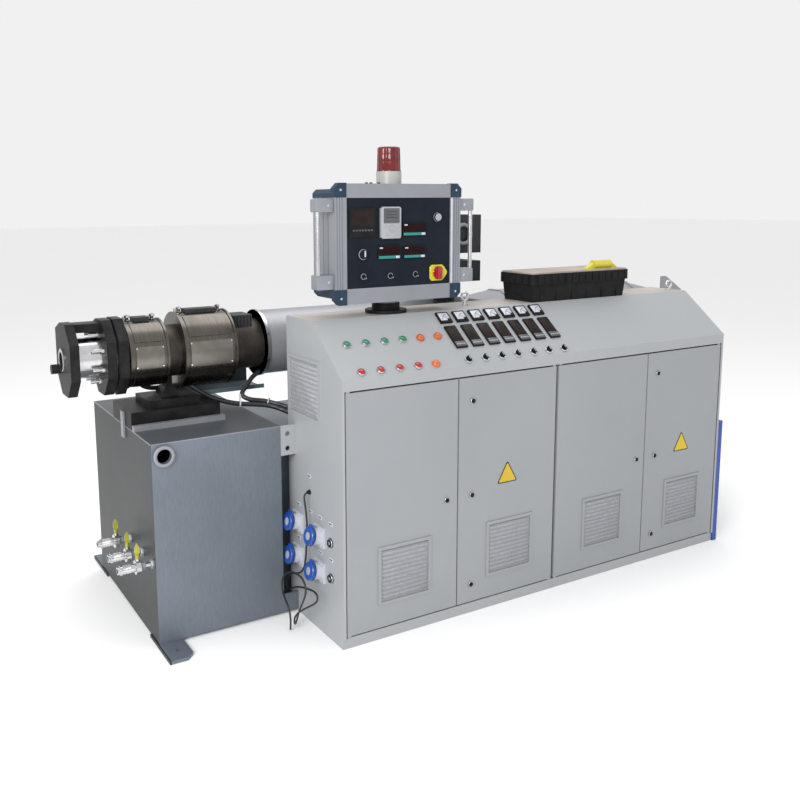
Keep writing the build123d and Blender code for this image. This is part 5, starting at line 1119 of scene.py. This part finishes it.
@dataclass
class ControlBox(Dresser):
    """The swivelling control box: profiles, corner pieces, instruments, main switch and beacon."""

    left: float = 87.0
    foot: float = 1149.0
    face: float = 196.0
    displays: tuple[tuple[float, float, float, float], ...] = (
        (274.0, 372.0, 229.0, 276.0), (171.0, 263.0, 150.0, 198.0), (277.0, 370.0, 150.0, 195.0))
    module: tuple[float, float, float, float] = (56.0, 162.0, 229.0, 329.0)
    keypad: tuple[float, float, float, float] = (179.0, 263.0, 222.0, 333.0)
    selector: tuple[float, float] = (112.0, 170.0)
    knob: tuple[float, float] = (423.0, 294.0)
    main_switch: tuple[float, float] = (423.0, 94.0)
    toggles: tuple[tuple[float, float], ...] = ((111.0, 94.0), (221.0, 92.0), (327.0, 93.0))
    handle_sides: tuple[tuple[float, float], ...] = ((-57.0, -33.0), (583.0, 559.0))
    brackets: tuple[tuple[float, float], ...] = ((79.0, 50.0), (338.0, 44.0))
    bracket_foot: float = 244.0
    bar_ends: tuple[float, float] = (90.0, 330.0)
    bar_depth: float = 209.0
    edge_place: Point = (487.0, 193.0, 208.5)
    corner_screws: tuple[tuple[float, float], ...] = (
        (22.0, 22.0), (504.0, 22.0), (22.0, 390.0), (504.0, 390.0))
    bracket_screws: tuple[tuple[float, float], ...] = (
        (-22.0, 80.0), (-22.0, 338.0), (548.0, 80.0), (548.0, 338.0))
    top_screws: tuple[float, ...] = (238.0, 256.0, 288.0)

    def spot(self, x: float, z: float, proud: float = 0.0) -> Place:
        """A place on the panel, in millimetres from the box's left side and foot."""
        return on_front(self.left + x, self.face, self.foot + z).moved(out=proud)

    def build(self) -> None:
        """Dress the control box."""
        self.coat(Paints.ALUMINIUM, "control_box_shell", "control_box_handles")
        self.handles()
        self.coat(Mouldings.SLATE, "control_box_corners")
        self.coat(Mouldings.FOIL, "control_panel")
        self.coat(Mouldings.BLACK, "panel_instruments", "swivel_pedestal")
        self.coat(Mouldings.CREAM, "beacon_base")
        self.coat(Mouldings.RED, "main_switch_knob")
        self.coat(Mouldings.YELLOW, "main_switch_plate")
        self.coat(Mouldings.LENS, "beacon_lens")
        self.beacon()
        self.readouts()
        self.hand_keypad()
        self.dials()
        self.switch()
        self.trim()

    def handles(self) -> None:
        """Two bright round bars, each in a pair of brackets on the box's sides."""
        bars, brackets = [], []
        for bar_x, bracket_x in self.handle_sides:
            for z, height in self.brackets:
                base = on_front(self.left + bracket_x, self.bracket_foot, self.foot + z)
                brackets.append(key(66.0, height, 44.0, 5.0, 2.0).at(base))
            low, high = (cabinet(self.left + bar_x, self.bar_depth, self.foot + z) for z in self.bar_ends)
            bars.append(rod(low, high, 7.5, 1.0, 24))
        for name, shapes, finish in (("handle_bars", bars, Paints.BRIGHT),
                                     ("handle_brackets", brackets, Paints.ALUMINIUM)):
            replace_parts(Shape.joined(shapes).piece(name, finish, Body.BOX), "control_box_handles")

    def beacon(self) -> None:
        """A fluted red lens over the plain one, with stepped rings, and a lip on its base."""
        low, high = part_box("beacon_lens")
        centre = ((low.x + high.x) / 2, (low.y + high.y) / 2, low.z)
        up = Place(centre, (1.0, 0.0, 0.0), (0.0, 0.0, 1.0))
        rows = ((42.6, 0.2), (42.8, 4.0), (41.6, 5.0), (41.2, 30.0), (40.6, 31.0), (40.6, 33.0), (41.0, 34.0),
                (40.4, 60.0), (39.9, 61.0), (40.0, 78.0), (38.4, 83.0), (33.0, 86.0))
        lens = turned(rows, 192, 16, 0.024).at(up).piece("beacon_flutes", Mouldings.LENS, Body.BOX, 60.0)
        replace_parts(lens, "beacon_lens")
        inner = turned(((13.0, -2.0), (13.0, 30.0), (20.0, 34.0), (20.0, 58.0), (10.0, 64.0)), 24).at(up)
        inner.piece("beacon_reflector", Paints.BRIGHT, Body.BOX)
        ring(44.0, 1.2, 64, 8).at(up.moved(out=-6.0)).piece("beacon_lip", Mouldings.CREAM, Body.BOX)

    def readouts(self) -> None:
        """Dark windows with a teal band and a white tab, and the module's screen and keys."""
        displays, bands, tabs = [], [], []
        for left, right, low, high in self.displays:
            width, height = right - left, high - low
            place = self.spot((left + right) / 2, (low + high) / 2, 5.0)
            side, rise = width / 2 - 12.0, height * 0.34
            displays.append(key(width - 6.0, height * 0.6, 0.7, 1.5, 0.3).at(place.moved(up=height * 0.15)))
            bands.append(key(width - 4.0, height * 0.2, 0.9, 1.2, 0.3).at(place.moved(up=-rise)))
            tabs += [key(15.0, height * 0.17, 1.3, 1.0, 0.3).at(place.moved(side, -rise)),
                     key(13.0, 4.5, 1.1, 0.8, 0.3).at(place.moved(-side, rise))]
        left, right, low, high = self.module
        place = self.spot((left + right) / 2, (low + high) / 2, 4.0)
        window = key(92.0, 52.0, 0.7, 2.0, 0.3).at(place.moved(up=17.0))
        keys = [key(8.0, 6.0, 1.6, 1.5, 0.5).at(place.moved(12.0 * column - 36.0, -26.0))
                for column in range(7)]
        self.put("display_windows", Mouldings.DISPLAY, displays, Body.BOX)
        self.put("readout_windows", Mouldings.SCREEN, [window], Body.BOX)
        self.put("readout_bands", Mouldings.TEAL, bands, Body.BOX)
        self.put("readout_tabs", Mouldings.WHITE, tabs, Body.BOX)
        self.put("module_keys", Mouldings.READOUT, keys, Body.BOX)

    def hand_keypad(self) -> None:
        """The pale keypad: a shell over its block, a grey readout, a round pad and two soft keys."""
        left, right, low, high = self.keypad
        place = self.spot((left + right) / 2, (low + high) / 2, 10.0)
        shell = plate(rounded(right - left, high - low, 9.0, 6),
                      ((0.4, -9.8), (-0.4, -8.0), (-0.4, -2.0), (0.8, 0.6), (3.0, 1.6))).at(place)
        shell.piece("keypad_shell", Mouldings.SHELL, Body.BOX)
        readout = key(66.0, 52.0, 2.0, 3.0, 0.4).at(place.moved(1.0, 24.0))
        readout.piece("keypad_readout", Mouldings.READOUT, Body.BOX)
        lines = [key(48.0, 2.2, 2.5, 0.8, 0.2).at(place.moved(1.0, 38.0 - 10.0 * row)) for row in range(3)]
        self.put("keypad_lines", Mouldings.INK, lines, Body.BOX)
        keys = [ring(12.0, 1.6, 32, 10).at(place.moved(1.0, -20.0, 1.8)),
                disc(5.0, 3.2).at(place.moved(1.0, -20.0))]
        keys += [disc(6.5, 3.0).at(place.moved(across, -40.0)) for across in (-20.0, 22.0)]
        keys += [disc(5.0, 3.0).at(place.moved(across, -12.0)) for across in (-26.0, 28.0)]
        self.put("keypad_keys", Mouldings.GREY, keys, Body.BOX)

    def dials(self) -> None:
        """Bright rims and a pointer on the selector, a pale knob, and levers on the three toggles."""
        rims = [ring(17.0, 1.8).at(self.spot(*self.selector, 2.0)),
                ring(15.2, 1.6).at(self.spot(*self.knob, 2.0))]
        for x, z in self.toggles:
            rims.append(ring(9.6, 1.4, 28, 8).at(self.spot(x, z, 4.6)))
            rims.append(rod(self.spot(x, z, 4.0).origin, self.spot(x + 3.0, z - 6.0, 19.0).origin, 2.6))
        self.put("dial_rims", Paints.ALUMINIUM, rims, Body.BOX)
        pointer = key(5.0, 20.0, 2.4, 1.2, 0.5).at(self.spot(114.5, 172.0, 9.6))
        pointer.piece("selector_pointer", Mouldings.WHITE, Body.BOX)
        knob = turned(((13.6, 0.0), (13.6, 9.5), (12.4, 11.2), (7.0, 11.8), (6.0, 10.4), (2.0, 10.4)), 36)
        knob.at(self.spot(*self.knob)).piece("pale_knob", Mouldings.GREY, Body.BOX)

    def switch(self) -> None:
        """The main switch: a yellow plate with a nose to the right, a round foot and a broad red grip."""
        centre = self.spot(*self.main_switch)
        outline = np.array(((-24.0, -29.0), (20.0, -29.0), (31.0, -21.0), (43.5, -4.0), (43.5, 4.0),
                            (31.0, 21.0), (20.0, 29.0), (-24.0, 29.0), (-32.0, 20.0), (-32.0, -20.0))) * MM
        base = plate(outline, ((0.0, -0.2), (0.0, 3.4), (0.9, 4.4)))
        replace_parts(base.at(centre).piece("switch_plate", Mouldings.YELLOW, Body.BOX), "main_switch_plate")
        grip = plate(rounded(23.0, 46.0, 5.0, 6),
                     ((1.2, 5.5), (0.0, 7.0), (0.0, 19.0), (1.4, 22.4), (4.0, 23.2)))
        foot = turned(((20.0, 4.6), (20.0, 7.4), (18.6, 9.0), (8.0, 9.4)), 40)
        piece = Shape.joined([grip.at(centre), foot.at(centre)])
        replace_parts(piece.piece("switch_grip", Mouldings.RED, Body.SWITCH), "main_switch_knob")

    def trim(self) -> None:
        """A white strip beside the panel as a painted highlight on the profile's edge, and the screws that
        hold the corner pieces and handles.
        """
        # The white strip is a painted highlight on the profile's edge.
        edge = plate(rounded(7.0, 309.0, 1.5), ((0.0, -2.5), (0.0, 0.4), (0.6, 0.9)))
        x, y, z = self.edge_place
        edge = edge.at(on_front(self.left + x, y, self.foot + z))
        edge.piece("panel_edge_highlight", Mouldings.WHITE, Body.BOX)
        screws = [disc(4.2, 1.4, 0.5, 16).at(on_front(self.left + x, self.face - 5.0, self.foot + z))
                  for x, z in self.corner_screws]
        screws += [disc(5.0, 2.0, 0.6, 16).at(on_front(self.left + x, self.face + 4.0, self.foot + z))
                   for x, z in self.bracket_screws]
        self.put("box_screws", Paints.BRIGHT, screws, Body.BOX)
        tops = [disc(5.5, 5.0, 1.0, 16).at(on_top(x, 236.0, self.foot + 412.0)) for x in self.top_screws]
        self.put("box_top_screws", Mouldings.BLACK, tops, Body.BOX)


@dataclass
class Barrel(Dresser):
    """The barrel line: head flange, adapter, clamp, heaters with their terminals, and shroud."""

    axis_y: float = 680.0
    axis_z: float = 965.0
    heaters: tuple[tuple[float, float, float], ...] = ((-521.0, 139.0, 120.0), (-329.0, 199.0, 137.5))
    die_x: float = -724.0
    seam_x: float = -558.0
    shroud_x: float = -5.0
    pad_angle: float = 18.5
    screw_angle: float = 16.0
    screw_inset: float = 23.0
    screw_lift: float = 3.4

    def along(self, x: float) -> Place:
        """The place on the axis, facing left along it."""
        return on_end(x, self.axis_y, self.axis_z)

    def build(self) -> None:
        """Dress the barrel line."""
        self.coat(Paints.CAST, "head_flange", "clamp_flange", "barrel_support")
        self.coat(Paints.BRIGHT, "head_adapter")
        self.coat(Paints.ALUMINIUM, "slide_rail")
        self.coat(Paints.BARE, "barrel")
        self.coat(Paints.HEATER, "heater_bands")
        self.coat(Paints.BLACK, "barrel_terminals")
        self.coat(Paints.COVER, "barrel_shroud")
        self.coat(Paints.TRAY, "drip_tray")
        self.bright_rings()
        self.pads()
        self.terminals()
        self.pad_screws()

    def bright_rings(self) -> None:
        """The die ring, the seam between the flanges and the shroud's end ring, turned bright."""
        die = hoop(((25.8, -2.0), (25.8, 6.0), (30.0, 8.6), (39.0, 8.6), (40.6, 7.6), (40.4, -2.0)))
        band = hoop(((95.1, -12.4), (95.1, 0.0), (129.0, 0.0), (129.6, -6.0), (129.0, -12.4)), 72)
        seam = turned(((88.0, 0.5), (90.8, 0.8), (90.8, 7.2), (88.0, 7.5)), 56)
        for name, shape, x in (("die_ring", die, self.die_x), ("shroud_ring", band, self.shroud_x),
                               ("clamp_seam", seam, self.seam_x)):
            shape.at(self.along(x)).piece(name, Paints.BRIGHT, Body.MACHINE)

    def pads(self) -> None:
        """A lighter sheet on the front pad of each heater, and beads at the heaters' ends in bright steel as
        a painted highlight.
        """
        sheets, beads = [], []
        for left, length, radius in self.heaters:
            place = self.along(left)
            sheets.append(curved(radius + 2.6, 0.9, (-self.pad_angle, self.pad_angle),
                                 (-length + 20.0, -20.0)).at(place))
            beads += [ring(radius, 2.0, 96, 8).at(place.moved(out=-out)) for out in (2.5, length - 2.5)]
        self.put("heater_pads", Paints.PAD, sheets)
        # The beads' bright steel is a painted highlight on the bands' ends.
        self.put("heater_bead_highlights", Paints.BRIGHT, beads)

    def terminals(self) -> None:
        """Nuts on the heaters' posts and small porcelain blocks beside them."""
        nuts, blocks = [], []
        nut = turned(((10.0, -8.0), (10.4, -7.0), (10.4, -1.0), (9.4, 0.0)), 6)
        washer = turned(((8.6, -18.4), (12.5, -18.0), (12.5, -16.4), (8.6, -16.0)), 24)
        block = plate(rounded(16.0, 24.0, 3.0), ((0.0, -20.0), (0.0, -10.0), (1.5, -8.4)))
        for left, length, radius in self.heaters:
            top = self.axis_z + radius + 20.0
            for x in (left + 24.0, left + length - 24.0):
                post = on_top(x, self.axis_y, top)
                nuts += [nut.at(post), washer.at(post)]
                blocks.append(block.at(post.moved(up=30.0)))
        self.put("terminal_nuts", Paints.BRIGHT, nuts)
        self.put("terminal_blocks", Mouldings.CREAM, blocks)

    def pad_screws(self) -> None:
        """Round screws at the corners of the heaters' front pads."""
        screws = []
        screw = turned(((3.2, -0.5), (3.2, 1.0), (2.4, 1.8), (0.8, 2.0)), 14)
        for left, length, radius in self.heaters:
            for angle in (-self.screw_angle, self.screw_angle):
                lean = math.radians(angle)
                out = (0.0, -math.cos(lean), math.sin(lean))
                for x in (left + self.screw_inset, left + length - self.screw_inset):
                    reach = radius + self.screw_lift
                    origin = cabinet(x, self.axis_y - reach * math.cos(lean),
                                     self.axis_z + reach * math.sin(lean))
                    screws.append(screw.at(Place(origin, (1.0, 0.0, 0.0), out)))
        self.put("pad_screws", Paints.BRIGHT, screws)


@dataclass
class Base(Dresser):
    """The welded base: its port, valves, feet and folded edge."""

    left: float = -531.0
    front: float = 342.0
    top: float = 713.0
    valves: tuple[float, ...] = (27.0, 147.0, 295.0)
    valve_z: float = 293.0
    port_place: Point = (41.0, -14.0, -42.0)
    fold_end: float = -62.0
    fold_reach: float = 756.0
    fold_bar: float = 2.2

    def build(self) -> None:
        """Dress the base."""
        self.coat(Paints.BASE, "machine_base", "base_feet")
        self.coat(Paints.BRIGHT, "valve_bodies")
        self.coat(Paints.OLIVE, "valve_lever_1", "valve_lever_2", "valve_lever_3")
        self.port()
        self.fold()
        self.barbs()

    def port(self) -> None:
        """A bright turned rim round the port's mouth."""
        rim = hoop(((25.3, -4.0), (25.3, 1.0), (27.5, 2.2), (33.5, 2.2), (36.2, 0.4), (36.2, -4.0)))
        x, y, z = self.port_place
        rim = rim.at(on_front(self.left + x, self.front + y, self.top + z))
        rim.piece("port_rim", Paints.ALUMINIUM, Body.MACHINE)

    def fold(self) -> None:
        """The folded edges along the front and the left of the base's top, in a finish lighter than the
        base's paint as a painted highlight.
        """
        bars = [rod(cabinet(self.left + 2.0, self.front + 1.6, self.top - 1.6),
                    cabinet(self.fold_end, self.front + 1.6, self.top - 1.6), self.fold_bar),
                rod(cabinet(self.left + 1.6, self.front + 2.0, self.top - 1.6),
                    cabinet(self.left + 1.6, self.front + self.fold_reach, self.top - 1.6), self.fold_bar)]
        # The lighter finish on the folds is a painted highlight.
        self.put("base_fold_highlights", Paints.ALUMINIUM, bars)

    def barbs(self) -> None:
        """Barbed sleeves on the hose nipples, packing nuts on the valves and collars at the wall."""
        rows = ((14.2, 0.0), (14.2, 6.0), (13.2, 14.0), (15.4, 15.0), (13.2, 23.0), (15.4, 24.0),
                (13.2, 32.0), (15.4, 33.0), (13.4, 41.0), (16.5, 42.0), (16.5, 50.0), (13.4, 52.0))
        sleeves, nuts = [], []
        for from_front in self.valves:
            y = self.front + from_front
            wall = on_end(self.left, y, self.valve_z)
            sleeves.append(hoop(((9.2, 0.0), (9.2, 52.0), *rows[::-1]), 36).at(wall.moved(out=64.0)))
            nuts.append(turned(((17.0, -0.5), (17.0, 6.0), (15.0, 9.0), (9.0, 10.0)), 6).at(wall))
            nuts.append(turned(((13.0, 28.0), (15.0, 30.0), (15.0, 42.0), (13.0, 44.0)), 6).at(wall))
        self.put("nipple_barbs", Paints.BRIGHT, sleeves)
        self.put("valve_nuts", Paints.ALUMINIUM, nuts)


@dataclass
class Rear(Dresser):
    """The lidded case, the feeder and the drive behind the cabinet."""

    case_left: float = 994.0
    case_front: float = 219.0
    rim_reach: float = 18.0
    rim_low: float = 1172.0
    rim_high: float = 1212.0
    wall_middle: float = 1136.0
    front_ribs: tuple[int, float] = (14, 37.0)
    side_ribs: tuple[int, float] = (5, 39.0)
    wall_ribs: tuple[int, float] = (6, 84.0)
    feeder_mouth: Point = (905.0, 558.0, 1363.5)

    def build(self) -> None:
        """Dress the case, the feeder and the drive."""
        self.coat(Mouldings.BLACK, "case_body")
        self.coat(Mouldings.LID, "case_lid")
        self.coat(Mouldings.YELLOW, "lid_grip")
        self.coat(Paints.BLACK, "feeder")
        self.coat(Paints.COVER, "drive_cover")
        self.case_ribs()
        self.feeder_ring()

    def case_ribs(self) -> None:
        """Short upright ribs round the case's rim and longer ones down its front, so many at a pitch."""
        corner = (self.case_left - self.rim_reach, self.case_front - self.rim_reach,
                  (self.rim_low + self.rim_high) / 2)
        front, side = on_front(*corner), on_end(*corner)
        wall = on_front(self.case_left, self.case_front, self.wall_middle)
        short, long = key(5.0, 34.0, 3.2, 1.2, 0.8), key(7.0, 70.0, 4.5, 1.5, 1.0)
        ribs = [rib.at(place.moved(way * (first + index * pitch)))
                for rib, place, way, first, (count, pitch) in ((short, front, 1.0, 28.0, self.front_ribs),
                                                               (short, side, -1.0, 25.0, self.side_ribs),
                                                               (long, wall, 1.0, 40.0, self.wall_ribs))
                for index in range(count)]
        self.put("case_ribs", Mouldings.BLACK, ribs)

    def feeder_ring(self) -> None:
        """A bright turned rim on the feeder's front ring."""
        rim = ring(39.0, 8.0, 56, 14, 0.7).at(on_front(*self.feeder_mouth))
        rim.piece("feeder_rim", Paints.ALUMINIUM, Body.MACHINE)


@dataclass
class Cords(Dresser):
    """The hanging cord on the left end and the conduits under the barrel, each one smooth line."""

    cord_radius: float = 3.5
    conduit_radius: float = 9.0
    cord_exit: Point = (0.0, 236.0, 490.0)
    tied: tuple[tuple[Point, Point, Point], ...] = (
        ((-120.0, 578.5, 754.5), (-100.0, 596.0, 775.0), (0.93, -0.30, -0.1)),
        ((-2.0, 542.0, 742.0), (-14.0, 572.0, 756.5), (0.82, -0.56, -0.1)))
    tie_slack: float = 3.0
    cord_route: tuple[Point, ...] = (
        (-4.0, 236.0, 490.0), (-13.0, 236.0, 490.0), (-20.5, 236.0, 485.0), (-24.0, 235.0, 476.0),
        (-24.0, 233.0, 460.0), (-22.0, 228.0, 432.0), (-20.0, 224.0, 390.0), (-20.0, 226.0, 345.0),
        (-20.0, 231.0, 298.0), (-21.0, 235.0, 252.0), (-25.0, 240.0, 212.0), (-30.0, 264.0, 184.0),
        (-32.0, 301.0, 170.0), (-34.0, 338.0, 155.0), (-37.0, 364.0, 136.0), (-40.0, 368.0, 112.0),
        (-43.0, 350.0, 97.0), (-46.0, 318.0, 104.0), (-48.0, 284.0, 126.0), (-48.0, 246.0, 144.0),
        (-47.0, 200.0, 158.0), (-46.0, 156.0, 168.0), (-47.0, 118.0, 175.0), (-50.0, 94.0, 172.0),
        (-53.0, 89.0, 156.0), (-56.0, 106.0, 138.0), (-59.0, 142.0, 114.0), (-61.0, 187.0, 84.0),
        (-63.0, 224.0, 56.0), (-67.0, 241.0, 34.0), (-72.0, 234.0, 17.0), (-77.0, 214.0, 23.0),
        (-80.0, 195.0, 50.0), (-81.0, 176.0, 88.0), (-81.0, 150.0, 126.0), (-81.0, 127.0, 162.0),
        (-81.0, 118.0, 192.0), (-81.0, 130.0, 213.0), (-80.0, 156.0, 222.0), (-78.0, 190.0, 220.0),
        (-77.0, 226.0, 213.0), (-77.0, 262.0, 200.0), (-78.0, 292.0, 181.0), (-80.0, 310.0, 155.0),
        (-84.0, 307.0, 128.0), (-88.0, 285.0, 108.0), (-92.0, 254.0, 96.0), (-94.0, 229.0, 79.0),
        (-95.0, 216.0, 54.0), (-96.0, 213.0, 30.0), (-96.0, 216.0, 8.0))
    conduit_front: tuple[Point, ...] = (
        (-301.0, 640.0, 852.0), (-276.0, 634.0, 825.0), (-209.0, 612.0, 779.0), (-126.0, 580.0, 755.0),
        (-62.0, 562.0, 750.0), (-2.0, 540.0, 742.0), (48.0, 490.0, 719.0), (74.0, 437.0, 704.0),
        (78.0, 397.0, 701.0))
    conduit_drop: tuple[Point, ...] = (
        (-5.0, 640.0, 856.0), (-34.0, 635.0, 846.0), (-66.0, 622.0, 812.0), (-100.0, 609.0, 782.0),
        (-72.0, 588.0, 762.0), (-18.0, 573.0, 757.0), (44.0, 527.0, 737.0), (88.0, 465.0, 722.0),
        (99.0, 397.0, 719.0))
    conduit_rear: tuple[Point, ...] = (
        (-466.0, 699.0, 862.0), (-448.0, 703.0, 838.0), (-408.0, 714.0, 823.0), (-366.0, 735.0, 818.0),
        (-348.0, 777.0, 814.0), (-346.0, 794.0, 796.0), (-346.0, 795.0, 770.0))

    def line(self, name: str, route: Sequence[Point], radius: float, finish: Finish) -> bpy.types.Object:
        """Lay one cord as a smooth spline whose control points are the route's points.

        Args:
            name: The piece's name.
            route: Its points, in millimetres from the cabinet's corner.
            radius: Of the cord.
            finish: Its finish.

        Returns:
            The curve.
        """
        curve = bpy.data.curves.new(name, "CURVE")
        curve.dimensions = "3D"
        spline = curve.splines.new("NURBS")
        spline.points.add(len(route) - 1)
        places = np.array([(*cabinet(*point), 1.0) for point in route], np.float32)
        spline.points.foreach_set("co", places.ravel())
        spline.points.foreach_set("radius", np.full(len(route), radius * MM, np.float32))
        spline.order_u = 3
        spline.use_endpoint_u = True
        spline.resolution_u = 8
        curve.bevel_depth = 1.0
        curve.bevel_resolution = 3
        curve.use_fill_caps = True
        curve.materials.append(finish.build())
        thing = bpy.data.objects.new(name, curve)
        bpy.context.scene.collection.objects.link(thing)
        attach(thing, Body.MACHINE.value)
        return thing

    def length(self, thing: bpy.types.Object) -> float:
        """Measure a cord's line: the sum of its short runs, read with no thickness.

        Args:
            thing: The cord's curve.

        Returns:
            Its length in metres.
        """
        depth, thing.data.bevel_depth = thing.data.bevel_depth, 0.0
        mesh = bpy.data.meshes.new_from_object(thing)
        points = np.empty(len(mesh.vertices) * 3, np.float32)
        mesh.vertices.foreach_get("co", points)
        bpy.data.meshes.remove(mesh)
        thing.data.bevel_depth = depth
        return float(np.linalg.norm(np.diff(points.reshape(-1, 3), axis=0), axis=1).sum())

    def build(self) -> None:
        """Lay the cord, its strain relief, the conduits and their ties."""
        self.coat(Mouldings.CORD, "side_cord")
        self.coat(Mouldings.HOSE, "conduits")
        cord = self.line("hanging_cord", self.cord_route, self.cord_radius, Mouldings.CORD)
        relief = self.strain_relief()
        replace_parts(cord, "side_cord")
        length = self.length(cord)
        LOG.info("hanging_cord: %.3f m", length)
        cabinet(*self.cord_route[0])
        for name, route in (("conduit_heater", self.conduit_front), ("conduit_shroud", self.conduit_drop),
                            ("conduit_head", self.conduit_rear)):
            conduit = self.line(name, route, self.conduit_radius, Mouldings.HOSE)
            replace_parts(conduit, "conduits")
            length = self.length(conduit)
            LOG.info("%s: %.3f m", name, length)
            cabinet(*route[0])
        self.ties()

    def strain_relief(self) -> bpy.types.Object:
        """A tapered ribbed sleeve where the cord leaves the wall.

        Returns:
            The sleeve.
        """
        rows = ((8.0, 3.6), (8.0, 5.0), (6.4, 6.2), (5.6, 8.0),
                (6.0, 8.6), (5.2, 10.4), (5.5, 11.0), (4.6, 13.0))
        relief = turned(rows, 28).at(on_end(*self.cord_exit))
        return relief.piece("strain_relief", Mouldings.BLACK, Body.MACHINE)

    def ties(self) -> None:
        """Two pale ties round the pair of conduits, each a flat loop across their run."""
        loops = []
        for first, second, run in self.tied:
            centre = tuple((a + b) / 2 for a, b in zip(first, second))
            out = Vector(run).normalized()
            across = Vector(second) - Vector(first)
            across -= across.dot(out) * out
            apart, thick = across.length, 2 * self.conduit_radius + self.tie_slack
            across.normalize()
            outline = rounded(apart + thick, thick, self.conduit_radius + 1.4, 8)
            loops.append(self.strap(outline).at(Place(cabinet(*centre), tuple(across), tuple(out))))
        self.put("conduit_ties", Mouldings.WHITE, loops)

    def strap(self, outline: np.ndarray) -> Shape:
        """A flat closed strap: the outline swept by a thin cross-section, out, over and back.

        Args:
            outline: Points of its inner side in metres, counter-clockwise.

        Returns:
            The closed strap.
        """
        middle = outline.mean(axis=0)
        grow = (outline - middle) / np.linalg.norm(outline - middle, axis=1, keepdims=True)
        section = np.array([(0.0, -2.4), (0.0, 2.4), (1.6, 2.4), (1.6, -2.4)]) * MM
        flat = outline[:, None, :] + section[None, :, 0, None] * grow[:, None, :]
        lift = np.broadcast_to(section[None, :, 1, None], (*flat.shape[:2], 1))
        return Shape.rings(np.concatenate([flat, lift], axis=-1), around=True)


# Stage


@dataclass(frozen=True)
class PhotoCamera:
    """The photograph's camera: its direction, its turn about the view, its focal length and its place."""

    azimuth: float = 0.5253730
    pitch: float = 0.1525903
    roll: float = -0.0070992
    focal: float = 866.454
    centre: tuple[float, float] = (354.755, 337.161)
    width: float = 800.0
    place: Point = (-2.272501, -2.585918, 1.492176)
    sensor: float = 36.0

    def build(self) -> None:
        """Make the camera: its back points along the view reversed, its shift is the off-centre frame."""
        cos, sin = math.cos, math.sin
        ahead = Vector((sin(self.azimuth) * cos(self.pitch), cos(self.azimuth) * cos(self.pitch),
                        -sin(self.pitch)))
        level = Vector((cos(self.azimuth), -sin(self.azimuth), 0.0))
        up = level.cross(ahead)
        right = level * cos(self.roll) + up * sin(self.roll)
        up = -level * sin(self.roll) + up * cos(self.roll)
        data = bpy.data.cameras.new("photo_camera")
        data.sensor_width = self.sensor
        data.lens = self.focal * self.sensor / self.width
        data.shift_x = (self.width / 2 - self.centre[0]) / self.width
        data.shift_y = (self.centre[1] - self.width / 2) / self.width
        data.clip_end = 100.0
        camera = bpy.data.objects.new("photo_camera", data)
        facing = Matrix((right, up, -ahead)).transposed().to_4x4()
        camera.matrix_world = Matrix.Translation(self.place) @ facing
        bpy.context.scene.collection.objects.link(camera)
        bpy.context.scene.camera = camera


@dataclass(frozen=True)
class Lamp:
    """A soft square light: where it hangs, what it points at, its side and its power in watts."""

    name: str
    place: Point
    aim: Point
    size: float
    power: float

    def hang(self) -> None:
        """Make the light and turn it to its aim."""
        data = bpy.data.lights.new(self.name, "AREA")
        data.size, data.energy = self.size, self.power
        lamp = bpy.data.objects.new(self.name, data)
        lamp.location = self.place
        lamp.rotation_euler = (Vector(self.aim) - Vector(self.place)).to_track_quat("-Z", "Y").to_euler()
        bpy.context.scene.collection.objects.link(lamp)


@dataclass(frozen=True)
class Studio:
    """A plain pale floor under soft lights: key at the front left, fill at the right, and a bright sky."""

    floor_half: float = 60.0
    floor_lines: int = 9
    pale: Finish = Finish("floor_pale", (0.95, 0.95, 0.95), (0.94, 0.94, 0.94), "", gloss=(0.7, 0.8),
                          cloud=0.6)
    sky: float = 0.88
    lamps: tuple[Lamp, ...] = (Lamp("key_light", (-4.2, -2.8, 2.7), (-0.5, 0.0, 0.6), 2.2, 200.0),
                               Lamp("fill_light", (3.6, -3.4, 2.6), (0.6, 0.0, 0.6), 2.4, 12.0),
                               Lamp("top_light", (0.6, 1.2, 4.6), (0.2, 0.3, 0.9), 3.0, 70.0))

    def build(self) -> None:
        """Make the floor, the lights and the sky."""
        self.floor()
        for lamp in self.lamps:
            lamp.hang()
        world = bpy.data.worlds.new("pale_sky")
        world.use_nodes = True
        shade = world.node_tree.nodes["Background"]
        shade.inputs["Color"].default_value = (1.0, 1.0, 1.0, 1.0)
        shade.inputs["Strength"].default_value = self.sky
        bpy.context.scene.world = world
        bpy.context.scene.view_settings.view_transform = "Standard"

    def floor(self) -> None:
        """A flat floor that reaches far past the view: even steps across both ways at height nought."""
        steps = np.linspace(-self.floor_half, self.floor_half, self.floor_lines)
        x, y = np.meshgrid(steps, steps, indexing="ij")
        index = np.arange(self.floor_lines ** 2).reshape(self.floor_lines, -1)
        quads = np.stack([index[:-1, :-1], index[1:, :-1], index[1:, 1:], index[:-1, 1:]],
                         axis=-1).reshape(-1, 4)
        mesh = bpy.data.meshes.new("pale_floor")
        mesh.from_pydata(np.stack([x, y, 0.0 * x], axis=-1).reshape(-1, 3).tolist(), [], quads.tolist())
        mesh.shade_smooth()
        mesh.materials.append(self.pale.build())
        thing = bpy.data.objects.new("pale_floor", mesh)
        bpy.context.scene.collection.objects.link(thing)
        thing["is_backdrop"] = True


def corners() -> list[list[float]]:
    """The lowest and highest corner of all that shows."""
    bpy.context.view_layer.update()
    return [list(corner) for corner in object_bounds()]


def main() -> None:
    """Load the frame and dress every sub-assembly in order."""
    logging.basicConfig(level=logging.INFO, format="%(message)s")
    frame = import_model()
    before = corners()
    PhotoCamera().build()
    Studio().build()
    for part in (Cords, Cabinet, Console, ControlBox, Barrel, Base, Rear):
        part(frame).build()
    {"cad": before, "visual": corners()}


if __name__ == "__main__":
    main()
